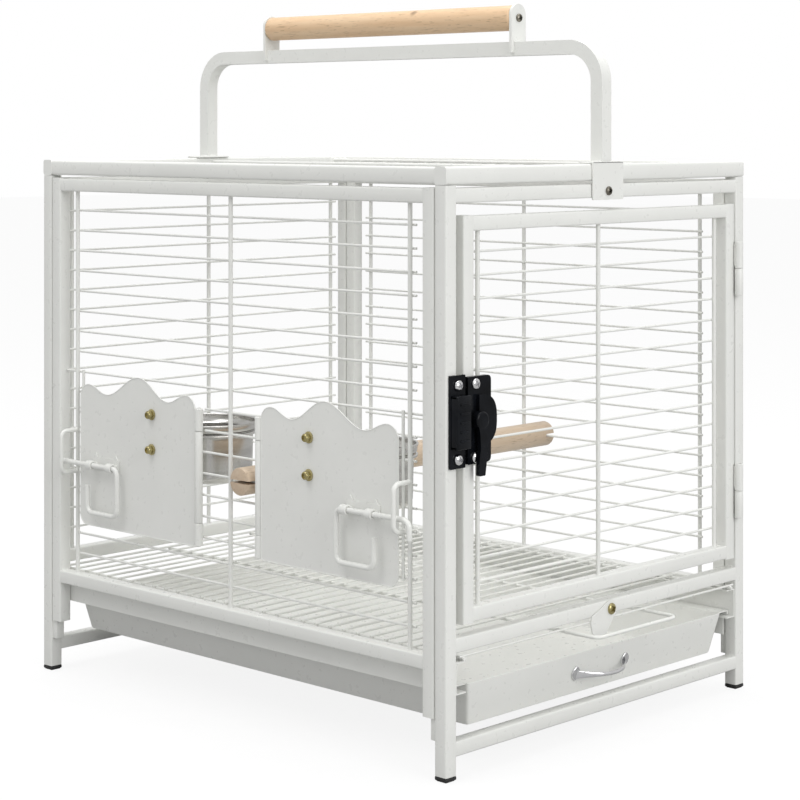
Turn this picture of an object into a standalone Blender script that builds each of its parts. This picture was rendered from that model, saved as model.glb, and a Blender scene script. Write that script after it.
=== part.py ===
"""Parrot cage: a knock-down cage of square tube and welded wire, with a carrying arch, a barred front door
with a sash lock, two solid feeder doors with slide bolts and lift-out cups, a perch, a drawer tray and a
sliding floor grille.

Lengths are in metres. In the cage's own frame +Z is up, the main door faces -Y and the feeder doors face
-X. Run it with blender --background --python part.py, or from the text editor.
"""

import math

import bmesh
import bpy
from mathutils import Matrix
from mathutils import Vector


def rows(low, high, pitch, end_space):
    """Heights of evenly spaced bars between two rails, centred in the space."""
    count = 1 + int((high - low - 2 * end_space) / pitch)
    first = (low + high - pitch * (count - 1)) / 2
    return [first + pitch * index for index in range(count)]


# Overall sizes
WIDTH = 0.420
LENGTH = 0.540
LID_TOP = 0.5025
ARCH_RISE = 0.1105

# Square tube, and the gap left between two pieces that touch
TUBE = 0.013
TUBE_EDGE = 0.0012
RAIL_STEP = 0.0003
FIT = 0.0003

# End frames, lid and side panels
FOOT_CAP = 0.004
BOTTOM_RAIL_Z = 0.019
MID_RAIL_Z = 0.1035
LID_DEPTH = 0.015
LID_SLIT = 0.0023
PANEL_GAP = 0.001
PANEL_FOOT_Z = 0.0502
PANEL_RAIL_Z = 0.088
SOCKET_REACH = 0.006
SOCKET_HEIGHT = 0.018
SOCKET_WIDTH = 0.009

# Welded wire: thick uprights outside, thin bars inside, sunk into each other by the weld
THICK = 0.004
THIN = 0.0022
WELD = 0.0005
PITCH = 0.01965
END_SPACE = 0.012
BAR_OVERHANG = 0.005
SIDE_UPRIGHT_INSET = 0.0195
REAR_UPRIGHT_INSET = 0.0172
LID_UPRIGHT_INSET = 0.0160
LID_WIRE_DROP = 0.0024

# Front door
DOOR_LEFT_GAP = 0.0085
DOOR_RIGHT_GAP = 0.0021
DOOR_BOTTOM_GAP = 0.0091
DOOR_TOP_GAP = 0.0101
DOOR_UPRIGHT_INSET = 0.0112
DOOR_MIDDLE_X = -0.004

# Lift-off door hinges
BARREL_PIN = 0.0042
BARREL_PLAY = 0.0008
BARREL_WALL = 0.0015
BARREL_LENGTH = 0.0255
BARREL_OUT = 0.0043
BARREL_WELD = 0.0045
HINGE_FROM_TOP = 0.0614
HINGE_FROM_BOTTOM = 0.0642

# Sash lock
LOCK_HEIGHT = 0.072
LOCK_THICK = 0.0040
LOCK_CORNER = 0.0040
LOCK_SCREW_SPACING = 0.0600
LOCK_SCREW_HEAD = 0.0062
LOCK_SCREW_RISE = 0.0018
LOCK_SCREW = 0.0030
LOCK_SCREW_LENGTH = 0.0080
KEEPER_INSET = 0.0025
KEEPER_WIDTH = 0.0180
KEEPER_BASE = 0.0025
KEEPER_HOUSING = 0.0440
KEEPER_DEPTH = 0.0100
KEEPER_SCREW_X = 0.0125
BASE_INSET = 0.0005
BASE_WIDTH = 0.0300
BASE_SCREW_X = 0.0127
PIVOT_INSET = 0.0115
LOBE_RADIUS = 0.021
LOBE_THICK = 0.0026
HUB_DIAMETER = 0.014
LEVER_THICK = 0.0045
LEVER_LENGTH = 0.0455
LEVER_WIDTH = 0.012
LEVER_TIP_WIDTH = 0.010

# Feeder doors, placed from the lowest bar of their openings
OPENING_LOW_BAR = 2
OPENING_HIGH_BAR = 9
PLATE_OUT = 0.0031
PLATE_THICK = 0.0012
PLATE_HINGE_Y = 0.0407
PLATE_EDGE_INSET = 0.0100
PLATE_DROP = 0.0082
PLATE_HUMP = 0.1284
PLATE_VALLEY = 0.1204
PLATE_CREST = 0.1394
PLATE_CORNER = 0.010
HINGE_ROD = 0.0035
KNUCKLE_PLAY = 0.0006
KNUCKLE_WALL = 0.00175
KNUCKLE_HEIGHT = 0.0205
HINGE_TUBE = 0.0071
HINGE_LOW = -0.0072
HINGE_TOP = 0.1183
GUARD_INSET = 0.0085
GUARD_WIRE = 0.0028
FEEDER_BOLT_FROM_HINGE = 0.0655
FEEDER_BOLT_RISE = (0.0741, 0.1068)
FEEDER_BOLT = 0.0040
FEEDER_BOLT_HEAD = 0.0074
FEEDER_NUT = 0.0080

# Cups in their rings
CUP_FROM_PLATE = 0.0562
CUP_RADIUS = 0.0475
CUP_BODY_RADIUS = 0.0436
CUP_RISE = 0.0390
CUP_STEP = 0.0501
CUP_HEIGHT = 0.0658
CUP_WALL = 0.0010
CUP_FLOOR_CORNER = 0.008
RING_WIRE = 0.0032
CUP_STRAP_WIDTH = 0.020

# Slide bolts and their staples, placed from the outer upright and the lowest bar
BOLT_OUT = 0.0055
BOLT_RISE = 0.0516
BOLT_WIRE = 0.0050
PULL_DROP = 0.0455
PULL_END_DROP = 0.0195
PULL_INNER = 0.0755
PULL_OUTER = 0.0305
BOLT_TIP = 0.0105
BOLT_TIP_DROP = 0.0165
CLIP_PLAY = 0.0007
CLIP_WALL = 0.00155
CLIP_LENGTH = 0.008
CLIP_INNER = 0.0650
CLIP_OUTER = 0.0350
BRACKET_THICK = 0.0012
STAPLE_WIRE = 0.0038
STAPLE_OUT = 0.0135
STAPLE_DROP = 0.0105
STAPLE_HEIGHT = 0.0400

# Perch
PERCH_DIAMETER = 0.025
PERCH_Y = -0.0211
PERCH_BAR = 5
PERCH_PROUD = 0.0025
PERCH_SLOT_PLAY = 0.0007

# Floor grille, under the middle rail
GRILLE_DROP = 0.0032
GRILLE_PITCH = 0.017
GRILLE_INSET = 0.0040
GRILLE_FRONT = 0.0012
GRILLE_REAR_GAP = 0.0100
GRILLE_STRINGER = 0.0032
STRINGER_INSET = 0.0045
GRILLE_PULL_WIDTH = 0.113
GRILLE_PULL_REACH = 0.036

# Runners under the grille, and the tray that hangs in them by its lips
RUNNER_WALL = 0.0012
RUNNER_HEIGHT = 0.0270
RUNNER_UPPER = 0.0115
RUNNER_LOWER = 0.0125
TRAY_DEPTH = 0.0342
TRAY_WALL = 0.0012
TRAY_LIP = 0.0161
TRAY_HEM = 0.0045
TRAY_SIDE_GAP = 0.0010
TRAY_FLARE = 0.007
TRAY_FRONT = 0.0043
TRAY_REAR_GAP = 0.0180
TRAY_PULL_WIDTH = 0.083
TRAY_PULL_REACH = 0.020
TRAY_PULL_WIRE = 0.0045
TRAY_PULL_DROP = 0.0150

# Swivel tab on the middle rail
TAB_X = 0.0045
TAB_SCREW_DROP = 0.0080
TAB_THICK = 0.0012
TAB_SCREW = 0.0100

# Carrying arch and grip
ARCH_RADIUS = 0.038
STRAP_Y = 0.1660
STRAP_WIDTH = 0.020
STRAP_THICK = 0.003
STRAP_RISE = 0.035
STRAP_DROP = 0.010
GRIP_RISE = 0.022
GRIP_DIAMETER = 0.0235
GRIP_BOLT_HEAD = 0.0076
ARCH_PLATE_WIDTH = 0.043
ARCH_PLATE_OVERLAP = 0.0016
ARCH_PLATE_THICK = 0.0015
ARCH_SCREW_DROP = 0.0067
ARCH_SCREW_HEAD = 0.008
ARCH_SCREW = 0.004
ARCH_FLANGE_LIP = 0.002
ARCH_FLANGE_STEP = 0.0002
GRIP_BOLT = 0.0040
GRIP_BOLT_LENGTH = 0.025
BOLT_CLEARANCE = 0.0006
SCREW_HEAD_HEIGHT = 0.0026

# Bores, outsides and a flange that follow from what they fit
BARREL_BORE = BARREL_PIN + BARREL_PLAY
BARREL = BARREL_BORE + 2 * BARREL_WALL
KNUCKLE_BORE = HINGE_ROD + KNUCKLE_PLAY
KNUCKLE = KNUCKLE_BORE + 2 * KNUCKLE_WALL
CLIP_BORE = BOLT_WIRE + CLIP_PLAY
CLIP_OUTSIDE = CLIP_BORE + 2 * CLIP_WALL
PERCH_SLOT = THIN + PERCH_SLOT_PLAY
ARCH_FLANGE_DEPTH = TUBE + ARCH_FLANGE_LIP

# Places that follow from the sizes above
FRONT_Y = -LENGTH / 2
REAR_Y = LENGTH / 2
POST_X = WIDTH / 2 - TUBE / 2
POST_Y = LENGTH / 2 - TUBE / 2
INNER_X = WIDTH / 2 - TUBE
INNER_Y = LENGTH / 2 - TUBE
LID_UNDER = LID_TOP - LID_DEPTH
TOP_RAIL_TOP = LID_UNDER - LID_SLIT
TOP_RAIL_UNDER = TOP_RAIL_TOP - TUBE
MID_RAIL_TOP = MID_RAIL_Z + TUBE
STILE_Y = INNER_Y - PANEL_GAP - TUBE / 2
BAR_DEPTH = (THICK + THIN) / 2 - WELD
SIDE_UPRIGHT_Y = STILE_Y - TUBE / 2 - SIDE_UPRIGHT_INSET
SIDE_BARS = rows(PANEL_RAIL_Z + TUBE, TOP_RAIL_UNDER, PITCH, END_SPACE)
BASE_Z = SIDE_BARS[OPENING_LOW_BAR]
DOOR_LEFT_X = -INNER_X + DOOR_LEFT_GAP
DOOR_RIGHT_X = INNER_X - DOOR_RIGHT_GAP
DOOR_LOW_Z = MID_RAIL_TOP + DOOR_BOTTOM_GAP
DOOR_HIGH_Z = TOP_RAIL_UNDER - DOOR_TOP_GAP
DOOR_HINGE_X = INNER_X - DOOR_RIGHT_GAP / 2
DOOR_HINGE_Y = FRONT_Y - BARREL_OUT
LOCK_Z = (DOOR_LOW_Z + DOOR_HIGH_Z) / 2
PIVOT_X = DOOR_LEFT_X + PIVOT_INSET
KEEPER_SCREW_AT = -WIDTH / 2 + KEEPER_SCREW_X
BASE_SCREW_AT = DOOR_LEFT_X + BASE_SCREW_X
PLATE_X = -WIDTH / 2 + PLATE_OUT
FEEDER_HINGE_X = -POST_X + BAR_DEPTH - THIN / 2 - FIT - KNUCKLE / 2
PLATE_EDGE_Y = SIDE_UPRIGHT_Y - PLATE_EDGE_INSET
FEEDER_BOLT_Y = PLATE_HINGE_Y + FEEDER_BOLT_FROM_HINGE
CUP_X = PLATE_X + CUP_FROM_PLATE
BOLT_X = -WIDTH / 2 - BOLT_OUT
BOLT_Z = BASE_Z + BOLT_RISE
STAPLE_X = -WIDTH / 2 - STAPLE_OUT
PERCH_Z = SIDE_BARS[PERCH_BAR]
PERCH_END_X = WIDTH / 2 + PERCH_PROUD
GRILLE_Z = MID_RAIL_Z - GRILLE_DROP
GRILLE_HALF_X = INNER_X - GRILLE_INSET
GRILLE_FIRST_Y = FRONT_Y + GRILLE_FRONT
GRILLE_UNDER = GRILLE_Z - THIN / 2 - GRILLE_STRINGER + WELD
RUNNER_TOP = GRILLE_UNDER - FIT
RUNNER_LOW = RUNNER_TOP - RUNNER_HEIGHT
TRAY_TOP = RUNNER_LOW + RUNNER_WALL + FIT + TRAY_HEM
TRAY_HALF_X = INNER_X - FIT - RUNNER_WALL - TRAY_SIDE_GAP - TRAY_LIP
TRAY_FRONT_Y = FRONT_Y + TRAY_FRONT
ARCH_TOP = LID_TOP + ARCH_RISE
GRIP_Z = ARCH_TOP + GRIP_RISE

# Looks: colour, roughness, metallic
WHITE_COAT = ((0.72, 0.72, 0.70), 0.42, 0.0)
BLACK_CAST = ((0.012, 0.012, 0.013), 0.25, 0.0)
BLACK_PLASTIC = ((0.02, 0.02, 0.02), 0.55, 0.0)
CHROME = ((0.78, 0.78, 0.80), 0.12, 1.0)
STAINLESS = ((0.62, 0.61, 0.59), 0.22, 1.0)
BRASS_PLATE = ((0.60, 0.50, 0.24), 0.25, 1.0)
DARK_STEEL = ((0.20, 0.19, 0.18), 0.35, 1.0)
BEECH = ((0.70, 0.50, 0.32), 0.55, 0.0)

TURN = {
    "X": Matrix.Rotation(math.radians(90), 4, "Y"),
    "Y": Matrix.Rotation(math.radians(-90), 4, "X"),
    "Z": Matrix.Identity(4),
}


def clear_scene():
    for old in list(bpy.data.objects):
        bpy.data.objects.remove(old, do_unlink=True)


def new_collection(name):
    group = bpy.data.collections.new(name)
    bpy.context.scene.collection.children.link(group)
    return group


def new_object(mesh):
    """An object that holds the mesh, linked to the scene while it is worked on."""
    obj = bpy.data.objects.new(mesh.name, mesh)
    bpy.context.scene.collection.objects.link(obj)
    return obj


def object_from(grid, name="solid"):
    mesh = bpy.data.meshes.new(name)
    bmesh.ops.recalc_face_normals(grid, faces=grid.faces)
    grid.to_mesh(mesh)
    grid.free()
    return new_object(mesh)


def as_mesh(obj):
    """The evaluated shape of a curve or of an object with modifiers, as one plain mesh object."""
    bpy.context.view_layer.update()
    graph = bpy.context.evaluated_depsgraph_get()
    mesh = bpy.data.meshes.new_from_object(obj.evaluated_get(graph))
    grid = bmesh.new()
    grid.from_mesh(mesh)
    bmesh.ops.remove_doubles(grid, verts=grid.verts, dist=1e-6)
    bmesh.ops.recalc_face_normals(grid, faces=grid.faces)
    grid.to_mesh(mesh)
    grid.free()
    solid = new_object(mesh)
    solid.matrix_world = obj.matrix_world.copy()
    bpy.data.objects.remove(obj, do_unlink=True)
    return solid


def bake(obj):
    """Moves the object's placing into its mesh, so that every solid lies in the cage's own frame."""
    bpy.context.view_layer.update()
    obj.data.transform(obj.matrix_world)
    obj.matrix_world = Matrix.Identity(4)
    return obj


def block(low, high, edge=0.0, along=None):
    """A box between two corners. edge rounds its edges, or only those that run along one axis."""
    low = Vector(low)
    high = Vector(high)
    grid = bmesh.new()
    size = Matrix.Diagonal((*(high - low), 1.0))
    bmesh.ops.create_cube(grid, size=1.0, matrix=Matrix.Translation((low + high) / 2) @ size)
    if edge:
        rounded = []
        for line in grid.edges:
            run = (line.verts[1].co - line.verts[0].co).normalized()
            if along is None or abs(run["XYZ".index(along)]) > 0.99:
                rounded.append(line)
        bmesh.ops.bevel(grid, geom=rounded, offset=edge, segments=1, affect="EDGES")
    return object_from(grid)


def square_tube(start, end, side=TUBE):
    """A length of square tube along one axis, with its four long edges rounded."""
    start = Vector(start)
    end = Vector(end)
    run = end - start
    axis = max(range(3), key=lambda i: abs(run[i]))
    half = Vector((side / 2, side / 2, side / 2))
    half[axis] = 0.0
    low = Vector([min(a, b) for a, b in zip(start, end)]) - half
    high = Vector([max(a, b) for a, b in zip(start, end)]) + half
    return block(low, high, TUBE_EDGE, "XYZ"[axis])


def wires(lines, axis, diameter, sides=4, roll=0.0):
    """Straight parallel wires in one mesh. A ridge of each wire faces the wires that cross it."""
    grid = bmesh.new()
    spin = Matrix.Rotation(math.radians(roll), 4, "Z")
    for start, end in lines:
        start = Vector(start)
        end = Vector(end)
        place = Matrix.Translation((start + end) / 2) @ TURN[axis] @ spin
        bmesh.ops.create_cone(
            grid,
            cap_ends=True,
            segments=sides,
            radius1=diameter / 2,
            radius2=diameter / 2,
            depth=(end - start).length,
            matrix=place,
        )
    return object_from(grid)


def cylinder(centre, axis, diameter, length, sides=12):
    """A round bar about a centre."""
    grid = bmesh.new()
    bmesh.ops.create_cone(
        grid,
        cap_ends=True,
        segments=sides,
        radius1=diameter / 2,
        radius2=diameter / 2,
        depth=length,
        matrix=Matrix.Translation(centre) @ TURN[axis],
    )
    return object_from(grid)


def rounded_path(corners, radius, steps=3):
    """The corner points of a bent wire, with an arc in place of each inner corner."""
    points = [Vector(corners[0])]
    for before, corner, after in zip(corners, corners[1:], corners[2:]):
        corner = Vector(corner)
        back = (Vector(before) - corner).normalized()
        ahead = (Vector(after) - corner).normalized()
        half = back.angle(ahead) / 2
        trim = radius / math.tan(half)
        middle = corner + (back + ahead).normalized() * (radius / math.sin(half))
        first = (corner + back * trim - middle).normalized()
        last = (corner + ahead * trim - middle).normalized()
        for step in range(steps + 1):
            points.append(middle + radius * first.slerp(last, step / steps))
    points.append(Vector(corners[-1]))
    return points


def bent_wire(points, diameter, resolution=2, closed=False):
    """A wire along points, as a curve with a round bevel and filled caps, made a mesh."""
    curve = bpy.data.curves.new("wire", "CURVE")
    curve.dimensions = "3D"
    curve.bevel_depth = diameter / 2
    curve.bevel_resolution = resolution
    curve.use_fill_caps = True
    spline = curve.splines.new("POLY")
    spline.points.add(len(points) - 1)
    for knot, point in zip(spline.points, points):
        knot.co = (*point, 1.0)
    spline.use_cyclic_u = closed
    return bake(as_mesh(new_object(curve)))


def sheet(outlines, thickness, centre, axis):
    """A flat plate from closed outlines, the first its edge and the rest its holes, square to an axis.

    An outline's points are (across, up): (Y, Z) for X, (X, Z) for Y and (X, Y) for Z.
    """
    curve = bpy.data.curves.new("sheet", "CURVE")
    curve.dimensions = "2D"
    curve.fill_mode = "BOTH"
    curve.extrude = thickness / 2
    for outline in outlines:
        spline = curve.splines.new("POLY")
        spline.points.add(len(outline) - 1)
        for knot, point in zip(spline.points, outline):
            knot.co = (point[0], point[1], 0.0, 1.0)
        spline.use_cyclic_u = True
    stand = {
        "X": Matrix(((0, 0, 1, 0), (1, 0, 0, 0), (0, 1, 0, 0), (0, 0, 0, 1))),
        "Y": Matrix(((1, 0, 0, 0), (0, 0, -1, 0), (0, 1, 0, 0), (0, 0, 0, 1))),
        "Z": Matrix.Identity(4),
    }
    plate = new_object(curve)
    plate.matrix_world = Matrix.Translation(centre) @ stand[axis]
    return bake(as_mesh(plate))


def arc(centre, radius, start, end, steps):
    """Points of an arc in a plane, from one angle to another in degrees."""
    points = []
    for step in range(steps + 1):
        angle = math.radians(start + (end - start) * step / steps)
        points.append((centre[0] + radius * math.cos(angle), centre[1] + radius * math.sin(angle)))
    return points


def rounded_outline(corners, radius, steps=3):
    """A closed outline whose corners are arcs of one radius."""
    points = []
    count = len(corners)
    for index, corner in enumerate(corners):
        corner = Vector(corner)
        back = (Vector(corners[index - 1]) - corner).normalized()
        ahead = (Vector(corners[(index + 1) % count]) - corner).normalized()
        half = back.angle(ahead) / 2
        trim = min(radius / math.tan(half), 0.49 * min(
            (Vector(corners[index - 1]) - corner).length,
            (Vector(corners[(index + 1) % count]) - corner).length,
        ))
        for step in range(steps + 1):
            share = step / steps
            entry = corner + back * trim
            leave = corner + ahead * trim
            points.append(entry * (1 - share) ** 2 + corner * 2 * share * (1 - share) + leave * share**2)
    return [(point.x, point.y) for point in points]


def turned(profile, centre, axis="Z", steps=20, closed=False):
    """A turned shape: the profile is (radius, height) and runs down the outer side from the top."""
    grid = bmesh.new()
    knots = [grid.verts.new((radius, 0.0, height)) for radius, height in profile]
    for first, second in zip(knots, knots[1:]):
        grid.edges.new((first, second))
    if closed:
        grid.edges.new((knots[-1], knots[0]))
    mesh = bpy.data.meshes.new("turned")
    grid.to_mesh(mesh)
    grid.free()
    shape = new_object(mesh)
    screw = shape.modifiers.new("Screw", "SCREW")
    screw.steps = steps
    screw.render_steps = steps
    screw.use_merge_vertices = True
    screw.merge_threshold = 0.00001
    shape.matrix_world = Matrix.Translation(centre) @ TURN[axis]
    return bake(as_mesh(shape))


def sleeve(centre, axis, outside, bore, length, steps=12):
    """A short tube: a barrel, a knuckle or a clip."""
    half = length / 2
    profile = [(bore / 2, half), (outside / 2, half), (outside / 2, -half), (bore / 2, -half)]
    return turned(profile, centre, axis, steps, closed=True)


def mirrored(obj, axis):
    """The solid moved to the other side of the cage."""
    obj.data.transform(Matrix.Scale(-1, 4, Vector((axis == "X", axis == "Y", axis == "Z"))))
    obj.data.flip_normals()
    return obj


def combine(body, others, operation, solver):
    """One Boolean after another, with the other solids used up."""
    for other in others:
        step = body.modifiers.new(operation, "BOOLEAN")
        step.operation = operation
        step.solver = solver
        step.object = other
        body = as_mesh(body)
        bpy.data.objects.remove(other, do_unlink=True)
    return body


def weld(solids, solver="EXACT"):
    return combine(solids[0], solids[1:], "UNION", solver)


def cut(body, cutters):
    return combine(body, cutters, "DIFFERENCE", "EXACT")


def end_frame(y):
    """Two posts and three rails of one end of the cage, with the sockets that carry the side panels."""
    pieces = []
    for x in (-POST_X, POST_X):
        pieces.append(square_tube((x, y, FOOT_CAP + FIT), (x, y, LID_UNDER - FIT)))
    for z in (BOTTOM_RAIL_Z + TUBE / 2, MID_RAIL_Z + TUBE / 2, TOP_RAIL_TOP - TUBE / 2):
        pieces.append(square_tube((-POST_X, y, z), (POST_X, y, z), TUBE - 2 * RAIL_STEP))
    inner = math.copysign(INNER_Y, y)
    deep = inner + math.copysign(TUBE_EDGE, y)
    tip = inner - math.copysign(SOCKET_REACH, y)
    for x in (-POST_X, POST_X):
        low = (x - SOCKET_WIDTH / 2, min(deep, tip), PANEL_FOOT_Z - FIT - SOCKET_HEIGHT)
        high = (x + SOCKET_WIDTH / 2, max(deep, tip), PANEL_FOOT_Z - FIT)
        pieces.append(block(low, high))
    return pieces


def front_frame():
    """The door end, bored for the lock's keeper, the swivel tab and the arch's screw."""
    holes = [screw_hole((0.0, FRONT_Y, TOP_RAIL_TOP - ARCH_SCREW_DROP), ARCH_SCREW, 0.012)]
    holes.append(screw_hole((TAB_X, FRONT_Y, MID_RAIL_TOP - TAB_SCREW_DROP), ARCH_SCREW, 0.012))
    for z in lock_screw_heights():
        holes.append(screw_hole((KEEPER_SCREW_AT, FRONT_Y, z), LOCK_SCREW, 0.010))
    return cut(weld(end_frame(-POST_Y)), holes)


def rear_frame():
    """The far end: the same frame with its fixed grille."""
    reach = INNER_X - REAR_UPRIGHT_INSET
    low = MID_RAIL_Z + TUBE / 2
    high = TOP_RAIL_TOP - TUBE / 2
    uprights = []
    for x in (-reach, 0.0, reach):
        uprights.append(((x, POST_Y, low), (x, POST_Y, high)))
    bars = []
    for z in rows(MID_RAIL_TOP, TOP_RAIL_UNDER, PITCH, END_SPACE):
        y = POST_Y - BAR_DEPTH
        bars.append(((-reach - BAR_OVERHANG, y, z), (reach + BAR_OVERHANG, y, z)))
    grille = weld([wires(uprights, "Z", THICK, 6), wires(bars, "X", THIN)])
    hole = screw_hole((0.0, REAR_Y, TOP_RAIL_TOP - ARCH_SCREW_DROP), ARCH_SCREW, 0.012)
    return cut(weld(end_frame(POST_Y) + [grille]), [hole])


def panel_frame(x):
    """Two stiles and two rails of one side panel. The stiles stand on below the lower rail."""
    pieces = []
    for y in (-STILE_Y, STILE_Y):
        pieces.append(square_tube((x, y, PANEL_FOOT_Z), (x, y, TOP_RAIL_TOP)))
    for z in (PANEL_RAIL_Z + TUBE / 2, TOP_RAIL_TOP - TUBE / 2 - RAIL_STEP):
        pieces.append(square_tube((x, -STILE_Y, z), (x, STILE_Y, z), TUBE - 2 * RAIL_STEP))
    return pieces


def panel_uprights(x):
    low = PANEL_RAIL_Z + TUBE / 2
    high = TOP_RAIL_TOP - TUBE / 2
    lines = []
    for y in (-SIDE_UPRIGHT_Y, 0.0, SIDE_UPRIGHT_Y):
        lines.append(((x, y, low), (x, y, high)))
    return wires(lines, "Z", THICK, 6)


def side_panel_right():
    """The plain side: every bar runs the full width of the grille."""
    reach = SIDE_UPRIGHT_Y + BAR_OVERHANG
    bars = []
    for z in SIDE_BARS:
        bars.append(((POST_X - BAR_DEPTH, -reach, z), (POST_X - BAR_DEPTH, reach, z)))
    grille = weld([panel_uprights(POST_X), wires(bars, "Y", THIN)])
    return weld(panel_frame(POST_X) + [grille])


def staple(side):
    """The loop that a slide bolt shoots through, bent round and welded to the outer upright."""
    y = side * SIDE_UPRIGHT_Y
    low = BOLT_Z - STAPLE_DROP
    corners = [(-POST_X, y, low), (STAPLE_X, y, low)]
    corners += [(STAPLE_X, y, low + STAPLE_HEIGHT), (-POST_X, y, low + STAPLE_HEIGHT)]
    return bent_wire(rounded_path(corners, 0.005), STAPLE_WIRE)


def hinge_rod(side):
    """The rod of one feeder door: a pin through both knuckles, thick between them."""
    y = side * PLATE_HINGE_Y
    low = BASE_Z + HINGE_LOW
    high = BASE_Z + HINGE_TOP
    pin = cylinder((FEEDER_HINGE_X, y, (low + high) / 2), "Z", HINGE_ROD, high - low + 0.002, 8)
    tube_low = low + KNUCKLE_HEIGHT + FIT
    tube_high = high - KNUCKLE_HEIGHT - FIT
    middle = (FEEDER_HINGE_X, y, (tube_low + tube_high) / 2)
    return weld([cylinder(middle, "Z", HINGE_TUBE, tube_high - tube_low), pin])


def side_panel_left():
    """The feeder side: the bars stop at two openings, which a guard wire and a hinge rod border."""
    x = -POST_X + BAR_DEPTH
    strip_x = FEEDER_HINGE_X + HINGE_TUBE / 2 + THIN / 2 - WELD - 0.0001
    reach = SIDE_UPRIGHT_Y + BAR_OVERHANG
    guard_y = SIDE_UPRIGHT_Y - GUARD_INSET
    low = BASE_Z + HINGE_LOW + KNUCKLE_HEIGHT
    high = BASE_Z + HINGE_TOP - KNUCKLE_HEIGHT
    full = []
    strip = []
    stubs = []
    for index, z in enumerate(SIDE_BARS):
        if index == OPENING_HIGH_BAR:
            full.append(((x, -STILE_Y, z), (x, STILE_Y, z)))
        elif not OPENING_LOW_BAR < index < OPENING_HIGH_BAR:
            full.append(((x, -reach, z), (x, reach, z)))
        else:
            behind_tube = low + THIN < z < high - THIN
            end = PLATE_HINGE_Y if behind_tube else PLATE_HINGE_Y - KNUCKLE / 2 - 2 * FIT
            strip.append(((strip_x, -end, z), (strip_x, end, z)))
            for side in (-1, 1):
                inner = side * (guard_y - THIN / 2)
                stubs.append(((x, min(inner, side * reach), z), (x, max(inner, side * reach), z)))
    guards = []
    for y in (-guard_y, guard_y):
        guard_x = x - (GUARD_WIRE + THIN) / 2 + WELD
        guards.append(((guard_x, y, BASE_Z - THIN), (guard_x, y, SIDE_BARS[OPENING_HIGH_BAR] + THIN)))
    grille = weld([
        panel_uprights(-POST_X),
        wires(full + stubs, "Y", THIN),
        wires(strip, "Y", THIN),
        wires(guards, "Z", GUARD_WIRE, 6),
        hinge_rod(-1),
        hinge_rod(1),
        staple(-1),
        staple(1),
    ])
    return weld(panel_frame(-POST_X) + [grille])


def top_panel():
    """The lid: a border of deeper tube flush with the posts, filled with welded wire."""
    z = LID_TOP - LID_DEPTH / 2
    half = Vector((TUBE / 2, TUBE / 2, LID_DEPTH / 2))
    pieces = []
    for y in (-POST_Y, POST_Y):
        low = Vector((-POST_X, y, z)) - half
        high = Vector((POST_X, y, z)) + half
        pieces.append(block(low, high, 2 * TUBE_EDGE, "X"))
    step = Vector((RAIL_STEP, 0.0, RAIL_STEP))
    for x in (-POST_X, POST_X):
        low = Vector((x - TUBE / 2, -POST_Y, z - LID_DEPTH / 2)) + step
        high = Vector((x + TUBE / 2, POST_Y, z + LID_DEPTH / 2)) - step
        pieces.append(block(low, high, 2 * TUBE_EDGE, "Y"))
    thick_z = LID_TOP - LID_WIRE_DROP - THICK / 2
    thin_z = thick_z - BAR_DEPTH
    reach = INNER_X - LID_UPRIGHT_INSET
    long_wires = []
    for x in (-reach, 0.0, reach):
        long_wires.append(((x, -POST_Y, thick_z), (x, POST_Y, thick_z)))
    bars = []
    for y in rows(-INNER_Y, INNER_Y, PITCH, END_SPACE):
        bars.append(((-POST_X, y, thin_z), (POST_X, y, thin_z)))
    grille = weld([wires(long_wires, "Y", THICK, 6, 90), wires(bars, "X", THIN)])
    return weld(pieces + [grille])


def foot_cap(x, y):
    half = TUBE / 2
    return block((x - half, y - half, 0.0), (x + half, y + half, FOOT_CAP), TUBE_EDGE, "Z")


def floor_grille():
    """Cross bars on stringers. One long wire makes both middle stringers and the pull at the front."""
    first = GRILLE_FIRST_Y
    count = 1 + int((LENGTH - GRILLE_FRONT - GRILLE_REAR_GAP) / GRILLE_PITCH)
    last = first + GRILLE_PITCH * (count - 1)
    bars = []
    for index in range(count):
        y = first + GRILLE_PITCH * index
        bars.append(((-GRILLE_HALF_X, y, GRILLE_Z), (GRILLE_HALF_X, y, GRILLE_Z)))
    z = GRILLE_UNDER + GRILLE_STRINGER / 2
    edge = GRILLE_HALF_X - STRINGER_INSET
    rear = last + THIN
    stringers = []
    for x in (-edge, edge):
        stringers.append(((x, first - THIN, z), (x, rear, z)))
    half = GRILLE_PULL_WIDTH / 2
    front = first - GRILLE_PULL_REACH
    corners = [(-half, rear, z), (-half, front, z), (half, front, z), (half, rear, z)]
    pull = bent_wire(rounded_path(corners, 0.012), GRILLE_STRINGER)
    return weld([wires(bars, "X", THIN), wires(stringers, "Y", GRILLE_STRINGER, 6), pull])


def tray_runner(side):
    """A channel along the posts: its upper flange carries the grille and its lower one the tray's lips."""
    back = INNER_X - FIT
    upper = back - RUNNER_UPPER
    lower = back - RUNNER_LOWER
    web = back - RUNNER_WALL
    low = RUNNER_LOW
    high = RUNNER_TOP
    outline = [(back, low), (back, high), (upper, high), (upper, high - RUNNER_WALL)]
    outline += [(web, high - RUNNER_WALL), (web, low + RUNNER_WALL)]
    outline += [(lower, low + RUNNER_WALL), (lower, low)]
    length = LENGTH - 2 * FIT - 2 * GRILLE_FRONT
    runner = sheet([outline], length, (0.0, 0.0, 0.0), "Y")
    return runner if side > 0 else mirrored(runner, "X")


def screw_hole(mouth, diameter, depth):
    """A cutter along Y for a screw whose mouth lies on an outer face; it runs inwards from there."""
    inwards = 1 if mouth[1] < 0 else -1
    centre = (mouth[0], mouth[1] + inwards * (depth / 2 - 0.002), mouth[2])
    return cylinder(centre, "Y", diameter + 2 * FIT, depth + 0.004, 10)


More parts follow.
